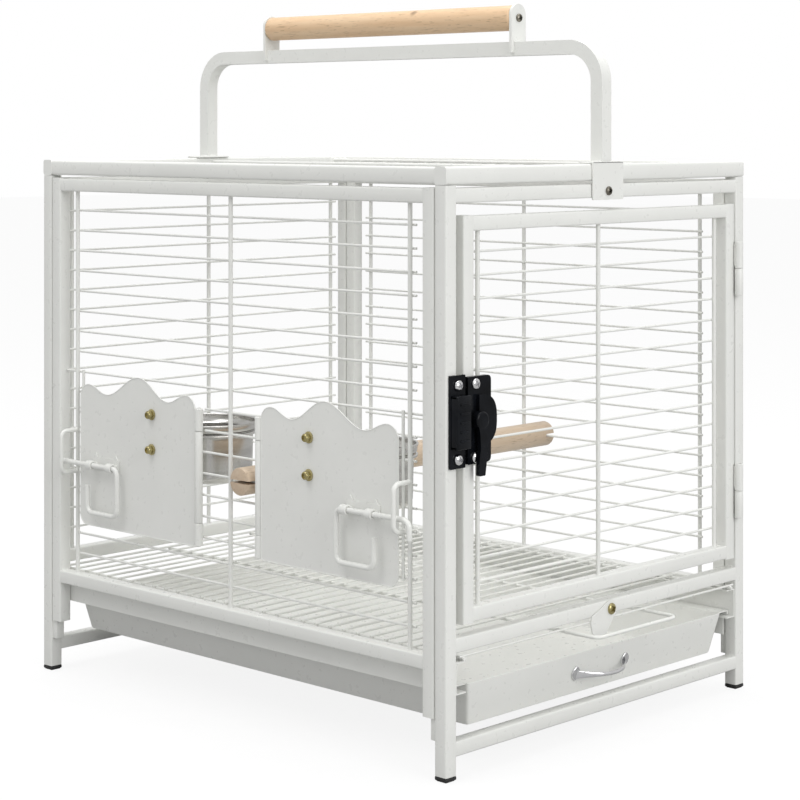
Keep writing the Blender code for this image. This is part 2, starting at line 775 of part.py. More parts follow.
def screw(seat, outwards, head, shank, length, head_height=SCREW_HEAD_HEIGHT):
    """A round-headed screw along Y: seat is where its head bears, and outwards is the head's side."""
    profile = [(0.0, head_height), (head * 0.32, head_height * 0.85), (head / 2, head_height * 0.25)]
    profile += [(head / 2, 0.0), (shank / 2, 0.0), (shank / 2, -length), (0.0, -length)]
    body = turned(profile, (0.0, 0.0, 0.0), "Y", 10)
    flip = Matrix.Rotation(math.pi if outwards < 0 else 0.0, 4, "Z")
    body.data.transform(Matrix.Translation(seat) @ flip)
    return body


def lock_screw_heights():
    return (LOCK_Z - LOCK_SCREW_SPACING / 2, LOCK_Z + LOCK_SCREW_SPACING / 2)


def main_door():
    """A framed grille of its own, hung in the front frame."""
    y = -POST_Y
    left = DOOR_LEFT_X + TUBE / 2
    right = DOOR_RIGHT_X - TUBE / 2
    low = DOOR_LOW_Z + TUBE / 2
    high = DOOR_HIGH_Z - TUBE / 2
    frame = []
    for x in (left, right):
        frame.append(square_tube((x, y, DOOR_LOW_Z), (x, y, DOOR_HIGH_Z)))
    for z in (low + RAIL_STEP, high - RAIL_STEP):
        frame.append(square_tube((left, y, z), (right, y, z), TUBE - 2 * RAIL_STEP))
    first = left + TUBE / 2 + DOOR_UPRIGHT_INSET
    last = right - TUBE / 2 - DOOR_UPRIGHT_INSET
    uprights = []
    for x in (first, DOOR_MIDDLE_X, last):
        uprights.append(((x, y, low), (x, y, high)))
    bars = []
    for z in rows(DOOR_LOW_Z + TUBE, DOOR_HIGH_Z - TUBE, PITCH, END_SPACE):
        bar_y = y + BAR_DEPTH
        bars.append(((first - BAR_OVERHANG, bar_y, z), (last + BAR_OVERHANG, bar_y, z)))
    grille = weld([wires(uprights, "Z", THICK, 6), wires(bars, "X", THIN)])
    holes = []
    for z in lock_screw_heights():
        holes.append(screw_hole((BASE_SCREW_AT, FRONT_Y, z), LOCK_SCREW, 0.010))
    return cut(weld(frame + [grille]), holes)


def barrel_weld(side, z):
    """The bead that joins a hinge barrel to the tube beside it: side is -1 on the door, +1 on the post."""
    near = DOOR_HINGE_X + side * (DOOR_RIGHT_GAP / 2 + 0.0002)
    far = near + side * BARREL_WELD / 2
    low = (min(near, far), FRONT_Y - FIT - 0.0022, z - BARREL_LENGTH * 0.4)
    high = (max(near, far), FRONT_Y - FIT, z + BARREL_LENGTH * 0.4)
    return block(low, high)


def door_knuckle(z):
    """The upper, bored barrel of one lift-off hinge, carried by the door."""
    centre_z = z + (BARREL_LENGTH + FIT) / 2
    barrel = sleeve((DOOR_HINGE_X, DOOR_HINGE_Y, centre_z), "Z", BARREL, BARREL_BORE, BARREL_LENGTH, 16)
    return weld([barrel, barrel_weld(-1, centre_z)])


def hinge_post(z):
    """The lower barrel, on the post, with the pin that the door's barrel drops over."""
    centre_z = z - (BARREL_LENGTH + FIT) / 2
    barrel = cylinder((DOOR_HINGE_X, DOOR_HINGE_Y, centre_z), "Z", BARREL, BARREL_LENGTH, 16)
    pin = cylinder((DOOR_HINGE_X, DOOR_HINGE_Y, z), "Z", BARREL_PIN, 2 * BARREL_LENGTH - 0.004)
    return weld([barrel, barrel_weld(1, centre_z), pin])


def lock_plate(left, width, thick):
    right = left + width
    half = LOCK_HEIGHT / 2
    corners = [(left, LOCK_Z - half), (right, LOCK_Z - half), (right, LOCK_Z + half), (left, LOCK_Z + half)]
    outline = rounded_outline(corners, LOCK_CORNER)
    return sheet([outline], thick, (0.0, FRONT_Y - FIT - thick / 2, 0.0), "Y")


def latch_keeper():
    """The keeper on the post: a plate with a raised hood, slotted on the door's side for the cam."""
    left = -WIDTH / 2 + KEEPER_INSET
    plate = lock_plate(left, KEEPER_WIDTH, KEEPER_BASE)
    face = FRONT_Y - FIT
    low = (left + 0.0006, face - KEEPER_DEPTH, LOCK_Z - KEEPER_HOUSING / 2)
    high = (left + KEEPER_WIDTH - 0.0004, face - KEEPER_BASE / 2, LOCK_Z + KEEPER_HOUSING / 2)
    hood = block(low, high, 0.002)
    cam_low = LOCK_THICK + FIT - 0.0006
    cam_high = cam_low + LOBE_THICK + 0.0012
    reach = PIVOT_X - LOBE_RADIUS - 0.0008
    slot_low = (reach, face - cam_high, LOCK_Z - 0.0185)
    slot_high = (left + KEEPER_WIDTH + 0.002, face - cam_low, LOCK_Z + 0.0185)
    keeper = cut(weld([plate, hood]), [block(slot_low, slot_high)])
    holes = []
    for z in lock_screw_heights():
        holes.append(screw_hole((KEEPER_SCREW_AT, FRONT_Y, z), LOCK_SCREW, 0.006))
    return cut(keeper, holes)


def latch_base():
    """The lock's base on the door, bored for its two screws and for the cam's spindle."""
    plate = lock_plate(DOOR_LEFT_X + BASE_INSET, BASE_WIDTH, LOCK_THICK)
    holes = [cylinder((PIVOT_X, FRONT_Y - LOCK_THICK, LOCK_Z), "Y", 0.0056, 0.004)]
    for z in lock_screw_heights():
        holes.append(screw_hole((BASE_SCREW_AT, FRONT_Y - LOCK_THICK, z), LOCK_SCREW, 0.010))
    return cut(plate, holes)


def latch_lever():
    """The cam, its hub and its lever in one casting. The half-moon cam turns in under the keeper's hood."""
    face = FRONT_Y - FIT - LOCK_THICK - FIT
    moon = arc((PIVOT_X, LOCK_Z), LOBE_RADIUS, -93, 93, 12)
    cam = sheet([moon], LOBE_THICK, (0.0, face - LOBE_THICK / 2, 0.0), "Y")
    hub_depth = LOBE_THICK + LEVER_THICK
    hub = cylinder((PIVOT_X, face - hub_depth / 2 - FIT, LOCK_Z), "Y", HUB_DIAMETER, hub_depth, 16)
    spindle = cylinder((PIVOT_X, face, LOCK_Z), "Y", 0.005, 0.0026)
    root = LEVER_WIDTH / 2
    tip = LEVER_TIP_WIDTH / 2
    end_z = LOCK_Z - LEVER_LENGTH
    outline = [(PIVOT_X - root, LOCK_Z), (PIVOT_X + root, LOCK_Z), (PIVOT_X + tip, end_z + tip)]
    outline += arc((PIVOT_X, end_z + tip), tip, 0, -180, 8)[1:]
    lever = sheet([outline], LEVER_THICK, (0.0, face - LOBE_THICK - LEVER_THICK / 2 + FIT, 0.0), "Y")
    return weld([cam, hub, spindle, lever])


def swivel_tab():
    """A flat catch that turns on a screw in the middle rail."""
    x = TAB_X
    z = MID_RAIL_TOP - TAB_SCREW_DROP
    outline = arc((x, z), 0.0080, -60, 130, 8)
    for across, up in ((-18.3, 0.0), (-26.5, -3.0), (-28.5, -8.5), (-26.0, -18.0), (-16.5, -24.5), (-7.5, -21.0)):
        outline.append((x + across / 1000, z + up / 1000))
    tab = sheet([outline], TAB_THICK, (0.0, FRONT_Y - FIT - TAB_THICK / 2, 0.0), "Y")
    return cut(tab, [cylinder((x, FRONT_Y, z), "Y", ARCH_SCREW + 2 * FIT, 0.01, 12)])


def plate_outline():
    """The feeder door's edge: a scalloped top with a crest in the middle and a hump at each end."""
    near = PLATE_HINGE_Y + HINGE_TUBE / 2 + 2 * FIT
    far = PLATE_EDGE_Y
    low = BASE_Z - PLATE_DROP
    hump = BASE_Z + PLATE_HUMP
    valley = BASE_Z + PLATE_VALLEY
    crest = BASE_Z + PLATE_CREST
    round_off = 0.011
    dip = 0.036
    points = arc((far - PLATE_CORNER, low + PLATE_CORNER), PLATE_CORNER, -90, 0, 4)
    points += arc((far - round_off, hump - round_off), round_off, 0, 90, 4)
    stations = [(far - round_off, hump), (far - dip, valley), ((near + far) / 2, crest)]
    stations += [(near + dip, valley), (near + round_off, hump)]
    for (start_s, start_z), (end_s, end_z) in zip(stations, stations[1:]):
        for step in range(1, 6):
            share = step / 5
            ease = (1 - math.cos(math.pi * share)) / 2
            points.append((start_s + (end_s - start_s) * share, start_z + (end_z - start_z) * ease))
    points += arc((near + round_off, hump - round_off), round_off, 90, 180, 4)[1:]
    points += arc((near + 0.004, low + 0.004), 0.004, 180, 270, 2)
    return points


def bolt_holes(x, y, diameter):
    holes = []
    for rise in FEEDER_BOLT_RISE:
        holes.append(cylinder((x, y, BASE_Z + rise), "X", diameter, 0.01, 8))
    return holes


def feeder_door(side):
    """The solid plate with a knuckle curled at each end of its hinge edge."""
    outline = [(side * across, up) for across, up in plate_outline()]
    plate = sheet([outline], PLATE_THICK, (PLATE_X, 0.0, 0.0), "X")
    pieces = [plate]
    hinge_y = side * PLATE_HINGE_Y
    low = BASE_Z + HINGE_LOW + KNUCKLE_HEIGHT / 2
    high = BASE_Z + HINGE_TOP - KNUCKLE_HEIGHT / 2
    for z in (low, high):
        pieces.append(sleeve((FEEDER_HINGE_X, hinge_y, z), "Z", KNUCKLE, KNUCKLE_BORE, KNUCKLE_HEIGHT))
        start = hinge_y + side * (KNUCKLE_BORE / 2 + 0.0008)
        end = hinge_y + side * (KNUCKLE / 2 + 0.006)
        half = KNUCKLE_HEIGHT / 2 - FIT
        corner = (PLATE_X - PLATE_THICK / 2 + 0.0001, min(start, end), z - half)
        other = (PLATE_X + PLATE_THICK / 2 - 0.0001, max(start, end), z + half)
        pieces.append(block(corner, other))
    return cut(weld(pieces), bolt_holes(PLATE_X, side * FEEDER_BOLT_Y, FEEDER_BOLT + BOLT_CLEARANCE))


def cup_holder(side):
    """A strap bolted to the inside of the plate, with the wire ring that carries the cup."""
    y = side * FEEDER_BOLT_Y
    face = PLATE_X + PLATE_THICK / 2 + FIT
    low = BASE_Z + FEEDER_BOLT_RISE[0] - 0.008
    high = BASE_Z + FEEDER_BOLT_RISE[1] + 0.008
    half = CUP_STRAP_WIDTH / 2
    corners = [(y - half, low), (y + half, low), (y + half, high), (y - half, high)]
    strap = sheet([rounded_outline(corners, 0.004)], 0.0015, (face + 0.00075, 0.0, 0.0), "X")
    strap = cut(strap, bolt_holes(face, y, FEEDER_BOLT + BOLT_CLEARANCE))
    ring_z = BASE_Z + CUP_RISE + CUP_STEP - FIT - RING_WIRE / 2
    radius = CUP_BODY_RADIUS + FIT + RING_WIRE / 2
    circle = []
    for step in range(24):
        angle = 2 * math.pi * step / 24
        circle.append((CUP_X + radius * math.cos(angle), y + radius * math.sin(angle), ring_z))
    ring = bent_wire(circle, RING_WIRE, 1, closed=True)
    arm_low = (face + 0.0007, y - 0.006, ring_z - 0.0012)
    arm_high = (CUP_X - radius - 0.0004, y + 0.006, ring_z + 0.0012)
    return weld([strap, block(arm_low, arm_high), ring])


def cup(side):
    """A spun cup whose wider collar rests on the ring."""
    bottom = 0.0
    step = CUP_STEP
    top = CUP_HEIGHT
    corner = CUP_FLOOR_CORNER
    outer = [(CUP_RADIUS, top), (CUP_RADIUS, step + 0.0030), (CUP_RADIUS - 0.0008, step)]
    outer += [(CUP_BODY_RADIUS - FIT, step), (CUP_BODY_RADIUS - 0.0012, bottom + corner)]
    outer += [(CUP_BODY_RADIUS - corner * 0.7, bottom), (0.0, bottom)]
    wall = CUP_WALL
    inner = [(0.0, bottom + wall), (CUP_BODY_RADIUS - corner * 0.7 - wall, bottom + wall)]
    inner += [(CUP_BODY_RADIUS - 0.0012 - wall, bottom + corner)]
    inner += [(CUP_BODY_RADIUS - FIT - wall, step + wall), (CUP_RADIUS - wall, step + 0.0030 + wall)]
    inner += [(CUP_RADIUS - wall, top)]
    return turned(inner + outer, (CUP_X, side * FEEDER_BOLT_Y, BASE_Z + CUP_RISE), "Z", 24)


def feeder_bolt(side, rise):
    """A bolt from inside the strap, out through the plate."""
    strap_face = PLATE_X + PLATE_THICK / 2 + FIT + 0.0015 + FIT
    length = strap_face - (PLATE_X - PLATE_THICK / 2) + 0.0055
    profile = [(0.0, 0.0024), (FEEDER_BOLT_HEAD * 0.36, 0.0019), (FEEDER_BOLT_HEAD / 2, 0.0)]
    profile += [(FEEDER_BOLT / 2, 0.0), (FEEDER_BOLT / 2, -length), (0.0, -length)]
    return turned(profile, (strap_face, side * FEEDER_BOLT_Y, BASE_Z + rise), "X", 10)


def feeder_nut(side, rise):
    """The hexagon nut on the outside of the plate."""
    thick = 0.0032
    centre = (PLATE_X - PLATE_THICK / 2 - FIT - thick / 2, side * FEEDER_BOLT_Y, BASE_Z + rise)
    nut = cylinder(centre, "X", FEEDER_NUT, thick, 6)
    return cut(nut, [cylinder(centre, "X", FEEDER_BOLT + 2 * FIT, 0.01, 10)])


def slide_bolt(side):
    """One bent wire: a square pull that hangs below the bolt, and a tip turned down past the staple."""
    edge = SIDE_UPRIGHT_Y
    route = [(edge - PULL_OUTER, BOLT_Z - PULL_END_DROP), (edge - PULL_OUTER, BOLT_Z - PULL_DROP)]
    route += [(edge - PULL_INNER, BOLT_Z - PULL_DROP), (edge - PULL_INNER, BOLT_Z)]
    route += [(edge + BOLT_TIP, BOLT_Z), (edge + BOLT_TIP, BOLT_Z - BOLT_TIP_DROP)]
    corners = [(BOLT_X, side * across, up) for across, up in route]
    return bent_wire(rounded_path(corners, 0.0045), BOLT_WIRE)


def bolt_bracket(side):
    """A strip with pointed ears, spot-welded to the plate, and the two clips that the bolt turns in."""
    inner = SIDE_UPRIGHT_Y - CLIP_INNER
    outer = SIDE_UPRIGHT_Y - CLIP_OUTER
    low = BOLT_Z - 0.0035
    high = BOLT_Z + 0.0075
    outline = [(inner - 0.005, low), (outer + 0.005, low), (outer + 0.005, high - 0.002)]
    outline += [(outer + 0.003, high), (outer, high + 0.0045), (outer - 0.003, high)]
    outline += [(inner + 0.003, high), (inner, high + 0.0045), (inner - 0.003, high)]
    outline += [(inner - 0.005, high - 0.002)]
    outline = [(side * across, up) for across, up in outline]
    face = PLATE_X - PLATE_THICK / 2 - FIT
    pieces = [sheet([outline], BRACKET_THICK, (face - BRACKET_THICK / 2, 0.0, 0.0), "X")]
    for across in (inner, outer):
        y = side * across
        pieces.append(sleeve((BOLT_X, y, BOLT_Z), "Y", CLIP_OUTSIDE, CLIP_BORE, CLIP_LENGTH))
        bridge_low = (BOLT_X + CLIP_BORE / 2 + 0.0006, y - CLIP_LENGTH * 0.35, BOLT_Z - 0.0020)
        bridge_high = (face - BRACKET_THICK / 2, y + CLIP_LENGTH * 0.35, BOLT_Z + 0.0020)
        pieces.append(block(bridge_low, bridge_high))
    return weld(pieces)


def perch():
    """A dowel whose slotted ends grip a bar of each side panel."""
    dowel = cylinder((0.0, PERCH_Y, PERCH_Z), "X", PERCH_DIAMETER, 2 * PERCH_END_X, 24)
    slot_end = POST_X - BAR_DEPTH - THIN / 2 - FIT
    half = PERCH_SLOT / 2
    slots = []
    for near, far in ((-PERCH_END_X - 0.01, -slot_end), (slot_end, PERCH_END_X + 0.01)):
        low = (near, PERCH_Y - PERCH_DIAMETER, PERCH_Z - half)
        high = (far, PERCH_Y + PERCH_DIAMETER, PERCH_Z + half)
        slots.append(block(low, high))
    return cut(dowel, slots)


def trough(low, high, flare):
    """A box that widens by flare on every side towards its top."""
    solid = block(low, high)
    middle = (Vector(low) + Vector(high)) / 2
    for vertex in solid.data.vertices:
        if vertex.co.z < middle.z:
            vertex.co.x -= math.copysign(flare, vertex.co.x - middle.x)
            vertex.co.y -= math.copysign(flare, vertex.co.y - middle.y)
    return solid


def tray():
    """A folded tray with flared walls. Its side lips are turned down and run in the channels."""
    front = TRAY_FRONT_Y
    rear = REAR_Y - TRAY_REAR_GAP
    low = TRAY_TOP - TRAY_DEPTH
    wall = TRAY_WALL
    outside = trough((-TRAY_HALF_X, front, low), (TRAY_HALF_X, rear, TRAY_TOP), TRAY_FLARE)
    hollow_low = (-TRAY_HALF_X + wall, front + wall, low + wall)
    hollow_high = (TRAY_HALF_X - wall, rear - wall, TRAY_TOP + wall)
    inside = trough(hollow_low, hollow_high, TRAY_FLARE)
    lips = []
    near = TRAY_HALF_X - wall * 0.6
    far = TRAY_HALF_X + TRAY_LIP
    outline = [(near, TRAY_TOP - 0.0001), (far, TRAY_TOP - 0.0001), (far, TRAY_TOP - TRAY_HEM)]
    outline += [(far - wall, TRAY_TOP - TRAY_HEM), (far - wall, TRAY_TOP - wall), (near, TRAY_TOP - wall)]
    length = rear - front - 0.006
    for side in (-1, 1):
        profile = [(side * across, up) for across, up in outline]
        lips.append(sheet([profile], length, (0.0, (front + rear) / 2, 0.0), "Y"))
    return weld([cut(outside, [inside])] + lips)


def tray_pull():
    """A bow handle screwed to the tray's sloping front."""
    z = TRAY_TOP - TRAY_PULL_DROP
    slope = TRAY_FLARE / TRAY_DEPTH
    seat = TRAY_FRONT_Y + slope * (TRAY_PULL_DROP - TRAY_PULL_WIRE / 2) - FIT
    half = TRAY_PULL_WIDTH / 2 - TRAY_PULL_WIRE / 2
    corners = [(-half, seat, z), (-half, seat - TRAY_PULL_REACH, z)]
    corners += [(half, seat - TRAY_PULL_REACH, z), (half, seat, z)]
    return bent_wire(rounded_path(corners, 0.008), TRAY_PULL_WIRE)


def carry_arch():
    """The arch, a foot and a hanging plate at each end, and the two straps that hold the grip."""
    half = LENGTH / 2
    low = LID_TOP + FIT
    outer = ARCH_RADIUS
    inner = ARCH_RADIUS - TUBE
    centre_z = ARCH_TOP - outer
    outline = [(half, low)] + arc((half - outer, centre_z), outer, 0, 90, 6)
    outline += arc((-half + outer, centre_z), outer, 90, 180, 6) + [(-half, low), (-half + TUBE, low)]
    outline += arc((-half + outer, centre_z), inner, 180, 90, 6)
    outline += arc((half - outer, centre_z), inner, 90, 0, 6) + [(half - TUBE, low)]
    pieces = [sheet([outline], TUBE, (0.0, 0.0, 0.0), "X")]
    thick = ARCH_PLATE_THICK
    wide = ARCH_PLATE_WIDTH / 2
    holes = []
    for side in (-1, 1):
        face = half + FIT
        ends = sorted((side * (face + thick - ARCH_FLANGE_STEP), side * (half - ARCH_FLANGE_DEPTH)))
        pieces.append(block((-wide, ends[0], low - FIT / 2), (wide, ends[1], low + thick)))
        plate_low = TOP_RAIL_UNDER - ARCH_PLATE_OVERLAP
        corners = [(-wide, plate_low), (wide, plate_low), (wide, low + thick), (-wide, low + thick)]
        outline = rounded_outline(corners, 0.0015, 2)
        pieces.append(sheet([outline], thick, (0.0, side * (face + thick / 2), 0.0), "Y"))
        z = TOP_RAIL_TOP - ARCH_SCREW_DROP
        holes.append(cylinder((0.0, side * face, z), "Y", ARCH_SCREW + BOLT_CLEARANCE, 0.01, 10))
        radius = STRAP_WIDTH / 2
        top = ARCH_TOP + STRAP_RISE
        strap = [(-radius, ARCH_TOP - STRAP_DROP), (radius, ARCH_TOP - STRAP_DROP)]
        strap += arc((0.0, top - radius), radius, 0, 180, 8)
        pieces.append(sheet([strap], STRAP_THICK, (0.0, side * STRAP_Y, 0.0), "Y"))
        holes.append(cylinder((0.0, side * STRAP_Y, GRIP_Z), "Y", GRIP_BOLT + BOLT_CLEARANCE, 0.01, 10))
    return cut(weld(pieces), holes)


def handle_grip():
    """The turned wooden grip between the straps, bored at each end for its bolt."""
    half = STRAP_Y - STRAP_THICK / 2 - FIT
    radius = GRIP_DIAMETER / 2
    bore = GRIP_BOLT / 2 + FIT
    deep = GRIP_BOLT_LENGTH + 0.002
    profile = [(0.0, half - deep), (bore, half - deep), (bore, half), (radius - 0.0018, half)]
    profile.append((radius, half - 0.0024))
    profile += [(share, -height) for share, height in reversed(profile)]
    return turned(profile, (0.0, 0.0, GRIP_Z), "Y", 20)


def grip_bolt(side):
    seat = (0.0, side * (STRAP_Y + STRAP_THICK / 2 + FIT), GRIP_Z)
    return screw(seat, side, GRIP_BOLT_HEAD, GRIP_BOLT, GRIP_BOLT_LENGTH)


def arch_screw(side):
    seat = (0.0, side * (LENGTH / 2 + 2 * FIT + ARCH_PLATE_THICK), TOP_RAIL_TOP - ARCH_SCREW_DROP)
    return screw(seat, side, ARCH_SCREW_HEAD, ARCH_SCREW, 0.010)


def cage_pieces():
    """Everything that stands still."""
    pieces = {
        "front_frame": (front_frame(), WHITE_COAT),
        "rear_frame": (rear_frame(), WHITE_COAT),
        "side_panel_left": (side_panel_left(), WHITE_COAT),
        "side_panel_right": (side_panel_right(), WHITE_COAT),
        "top_panel": (top_panel(), WHITE_COAT),
        "carry_arch": (carry_arch(), WHITE_COAT),
        "handle_grip": (handle_grip(), BEECH),
        "perch": (perch(), BEECH),
        "latch_keeper": (latch_keeper(), BLACK_CAST),
        "tab_screw": (tab_screw(), BRASS_PLATE),
        "hinge_post_upper": (hinge_post(DOOR_HIGH_Z - HINGE_FROM_TOP), WHITE_COAT),
        "hinge_post_lower": (hinge_post(DOOR_LOW_Z + HINGE_FROM_BOTTOM), WHITE_COAT),
    }
    for word, side in (("front", -1), ("rear", 1)):
        pieces["grip_bolt_" + word] = (grip_bolt(side), DARK_STEEL)
        pieces["arch_screw_" + word] = (arch_screw(side), DARK_STEEL)
        pieces["foot_cap_" + word + "_left"] = (foot_cap(-POST_X, side * POST_Y), BLACK_PLASTIC)
        pieces["foot_cap_" + word + "_right"] = (foot_cap(POST_X, side * POST_Y), BLACK_PLASTIC)
    for word, side in (("left", -1), ("right", 1)):
        pieces["tray_runner_" + word] = (tray_runner(side), WHITE_COAT)
    for word, z in zip(("lower", "upper"), lock_screw_heights()):
        pieces["keeper_screw_" + word] = (keeper_screw(z), CHROME)
    return pieces


def tab_screw():
    seat = (TAB_X, FRONT_Y - 2 * FIT - TAB_THICK, MID_RAIL_TOP - TAB_SCREW_DROP)
    return screw(seat, -1, TAB_SCREW, ARCH_SCREW, 0.009)


def keeper_screw(z):
    seat = (KEEPER_SCREW_AT, FRONT_Y - 2 * FIT - KEEPER_BASE, z)
    return screw(seat, -1, LOCK_SCREW_HEAD, LOCK_SCREW, LOCK_SCREW_LENGTH, LOCK_SCREW_RISE)


def base_screw(z):
    seat = (BASE_SCREW_AT, FRONT_Y - 2 * FIT - LOCK_THICK, z)
    return screw(seat, -1, LOCK_SCREW_HEAD, LOCK_SCREW, LOCK_SCREW_LENGTH + 0.001, LOCK_SCREW_RISE)


def door_pieces():
    lower, upper = lock_screw_heights()
    return {
        "main_door": (main_door(), WHITE_COAT),
        "door_knuckle_upper": (door_knuckle(DOOR_HIGH_Z - HINGE_FROM_TOP), WHITE_COAT),
        "door_knuckle_lower": (door_knuckle(DOOR_LOW_Z + HINGE_FROM_BOTTOM), WHITE_COAT),
        "latch_base": (latch_base(), BLACK_CAST),
        "latch_screw_lower": (base_screw(lower), CHROME),
        "latch_screw_upper": (base_screw(upper), CHROME),
    }


def feeder_pieces(word, side):
    pieces = {
        "feeder_door_" + word: (feeder_door(side), WHITE_COAT),
        "cup_holder_" + word: (cup_holder(side), STAINLESS),
        "bolt_bracket_" + word: (bolt_bracket(side), WHITE_COAT),
    }
    for level, rise in zip(("lower", "upper"), FEEDER_BOLT_RISE):
        pieces["feeder_bolt_" + word + "_" + level] = (feeder_bolt(side, rise), BRASS_PLATE)
        pieces["feeder_nut_" + word + "_" + level] = (feeder_nut(side, rise), BRASS_PLATE)
    return pieces


def bodies():
    """Each body that moves as one: its name, its carrier, a point on its joint's axis and its pieces."""
    grille_y = GRILLE_FIRST_Y
    moving = [
        ("cage_axis", None, (0.0, 0.0, 0.0), cage_pieces()),
        ("main_door_axis", "cage_axis", (DOOR_HINGE_X, DOOR_HINGE_Y, DOOR_LOW_Z), door_pieces()),
        ("latch_axis", "main_door_axis", (PIVOT_X, FRONT_Y, LOCK_Z), {"latch_lever": (latch_lever(), BLACK_CAST)}),
        ("tab_axis", "cage_axis", (TAB_X, FRONT_Y, MID_RAIL_TOP - TAB_SCREW_DROP),
         {"swivel_tab": (swivel_tab(), WHITE_COAT)}),
        ("tray_axis", "cage_axis", (0.0, TRAY_FRONT_Y, TRAY_TOP),
         {"tray": (tray(), WHITE_COAT), "tray_pull": (tray_pull(), CHROME)}),
        ("grille_axis", "cage_axis", (0.0, grille_y, GRILLE_Z), {"floor_grille": (floor_grille(), WHITE_COAT)}),
    ]
    for word, side in (("left", 1), ("right", -1)):
        hinge = (FEEDER_HINGE_X, side * PLATE_HINGE_Y, BASE_Z + HINGE_LOW)
        carrier = "feeder_axis_" + word
        moving.append((carrier, "cage_axis", hinge, feeder_pieces(word, side)))
        bolt = (BOLT_X, side * SIDE_UPRIGHT_Y, BOLT_Z)
        moving.append(("bolt_axis_" + word, carrier, bolt, {"slide_bolt_" + word: (slide_bolt(side), WHITE_COAT)}))
        centre = (CUP_X, side * FEEDER_BOLT_Y, BASE_Z + CUP_RISE)
        moving.append(("cup_axis_" + word, carrier, centre, {"cup_" + word: (cup(side), STAINLESS)}))
    return moving


def paint(obj, look):
    colour, roughness, metallic = look
    material = bpy.data.materials.new(obj.name + "_surface")
    material.use_nodes = True
    surface = material.node_tree.nodes["Principled BSDF"]
    surface.inputs["Base Color"].default_value = (*colour, 1.0)
    surface.inputs["Roughness"].default_value = roughness
    surface.inputs["Metallic"].default_value = metallic
    obj.data.materials.clear()
    obj.data.materials.append(material)


def settle(obj, name, look, pivot, axis, group):
    """Names and paints a finished piece, and hangs it on its body's empty with its origin at the pivot."""
    for old in list(obj.users_collection):
        old.objects.unlink(obj)
    group.objects.link(obj)
    obj.name = name
    obj.data.name = name
    obj.data.transform(Matrix.Translation(-Vector(pivot)))
    obj.parent = axis
    obj.data.shade_smooth()
    obj.data.set_sharp_from_angle(angle=math.radians(35))
    paint(obj, look)


def main():
    clear_scene()
    group = new_collection("parrot_cage")
    low_x = STAPLE_X - STAPLE_WIRE / 2
    high_x = PERCH_END_X
    low_y = GRILLE_FIRST_Y - GRILLE_PULL_REACH - GRILLE_STRINGER / 2
    high_y = LENGTH / 2 + 2 * FIT + ARCH_PLATE_THICK + SCREW_HEAD_HEIGHT
    places = {None: (None, Vector((0.0, 0.0, 0.0)))}
    for name, carrier, pivot, pieces in bodies():
        axis = bpy.data.objects.new(name, None)
        axis.empty_display_size = 0.03
        group.objects.link(axis)
        parent, parent_pivot = places[carrier]
        axis.parent = parent
        axis.location = Vector(pivot) - parent_pivot
        places[name] = (axis, Vector(pivot))
        for piece, (solid, look) in pieces.items():
            settle(solid, piece, look, pivot, axis, group)
    places["cage_axis"][0].location = (-(low_x + high_x) / 2, -(low_y + high_y) / 2, 0.0)


if __name__ == "__main__":
    main()
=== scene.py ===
"""Parrot cage: the finished look of a knock-down cage of square tube and welded wire.

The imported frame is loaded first. Each operator then makes one group of pieces over the frame's own nodes:
frames, wire panels, door, lock, feeder doors, cups, wood, trays, arch and the stage round them. All sizes
are in metres.
"""

import math

import bmesh
import bpy
from bpy.props import FloatProperty
from bpy.props import FloatVectorProperty
from bpy.props import IntProperty
from bpy.props import PointerProperty
from mathutils import Matrix
from mathutils import Vector


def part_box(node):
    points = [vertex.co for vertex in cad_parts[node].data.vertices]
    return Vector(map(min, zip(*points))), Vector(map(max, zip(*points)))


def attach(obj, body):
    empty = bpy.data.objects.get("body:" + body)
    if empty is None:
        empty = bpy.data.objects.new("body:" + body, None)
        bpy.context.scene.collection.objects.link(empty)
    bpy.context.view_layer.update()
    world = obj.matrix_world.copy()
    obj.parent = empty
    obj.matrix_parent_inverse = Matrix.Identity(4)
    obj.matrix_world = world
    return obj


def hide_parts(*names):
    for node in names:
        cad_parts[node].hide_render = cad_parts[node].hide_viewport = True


bl_info = {
    "name": "Parrot Cage",
    "version": (1, 0, 0),
    "blender": (4, 5, 0),
    "location": "View3D > Sidebar > Parrot Cage",
    "description": "Builds the finished surfaces of a welded parrot cage over its packed frame",
    "category": "Object",
}

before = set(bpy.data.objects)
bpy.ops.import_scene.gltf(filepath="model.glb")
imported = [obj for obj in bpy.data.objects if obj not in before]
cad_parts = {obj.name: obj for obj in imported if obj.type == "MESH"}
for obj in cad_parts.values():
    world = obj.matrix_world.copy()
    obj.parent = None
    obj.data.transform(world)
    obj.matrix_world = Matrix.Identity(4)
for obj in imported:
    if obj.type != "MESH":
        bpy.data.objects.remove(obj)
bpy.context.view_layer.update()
LOW, HIGH = (Vector(corner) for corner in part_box("top_panel"))

# The cage's own centre line, from which every place below is measured
CENTRE = Vector(((LOW.x + HIGH.x) / 2, (LOW.y + HIGH.y) / 2, 0.0))

# Overall sizes
WIDTH = round(HIGH.x - LOW.x, 4)
LENGTH = round(HIGH.y - LOW.y, 4)
LID_TOP = round(HIGH.z, 4)
TUBE = 0.013
RAIL_STEP = 0.0003
FIT = 0.0003

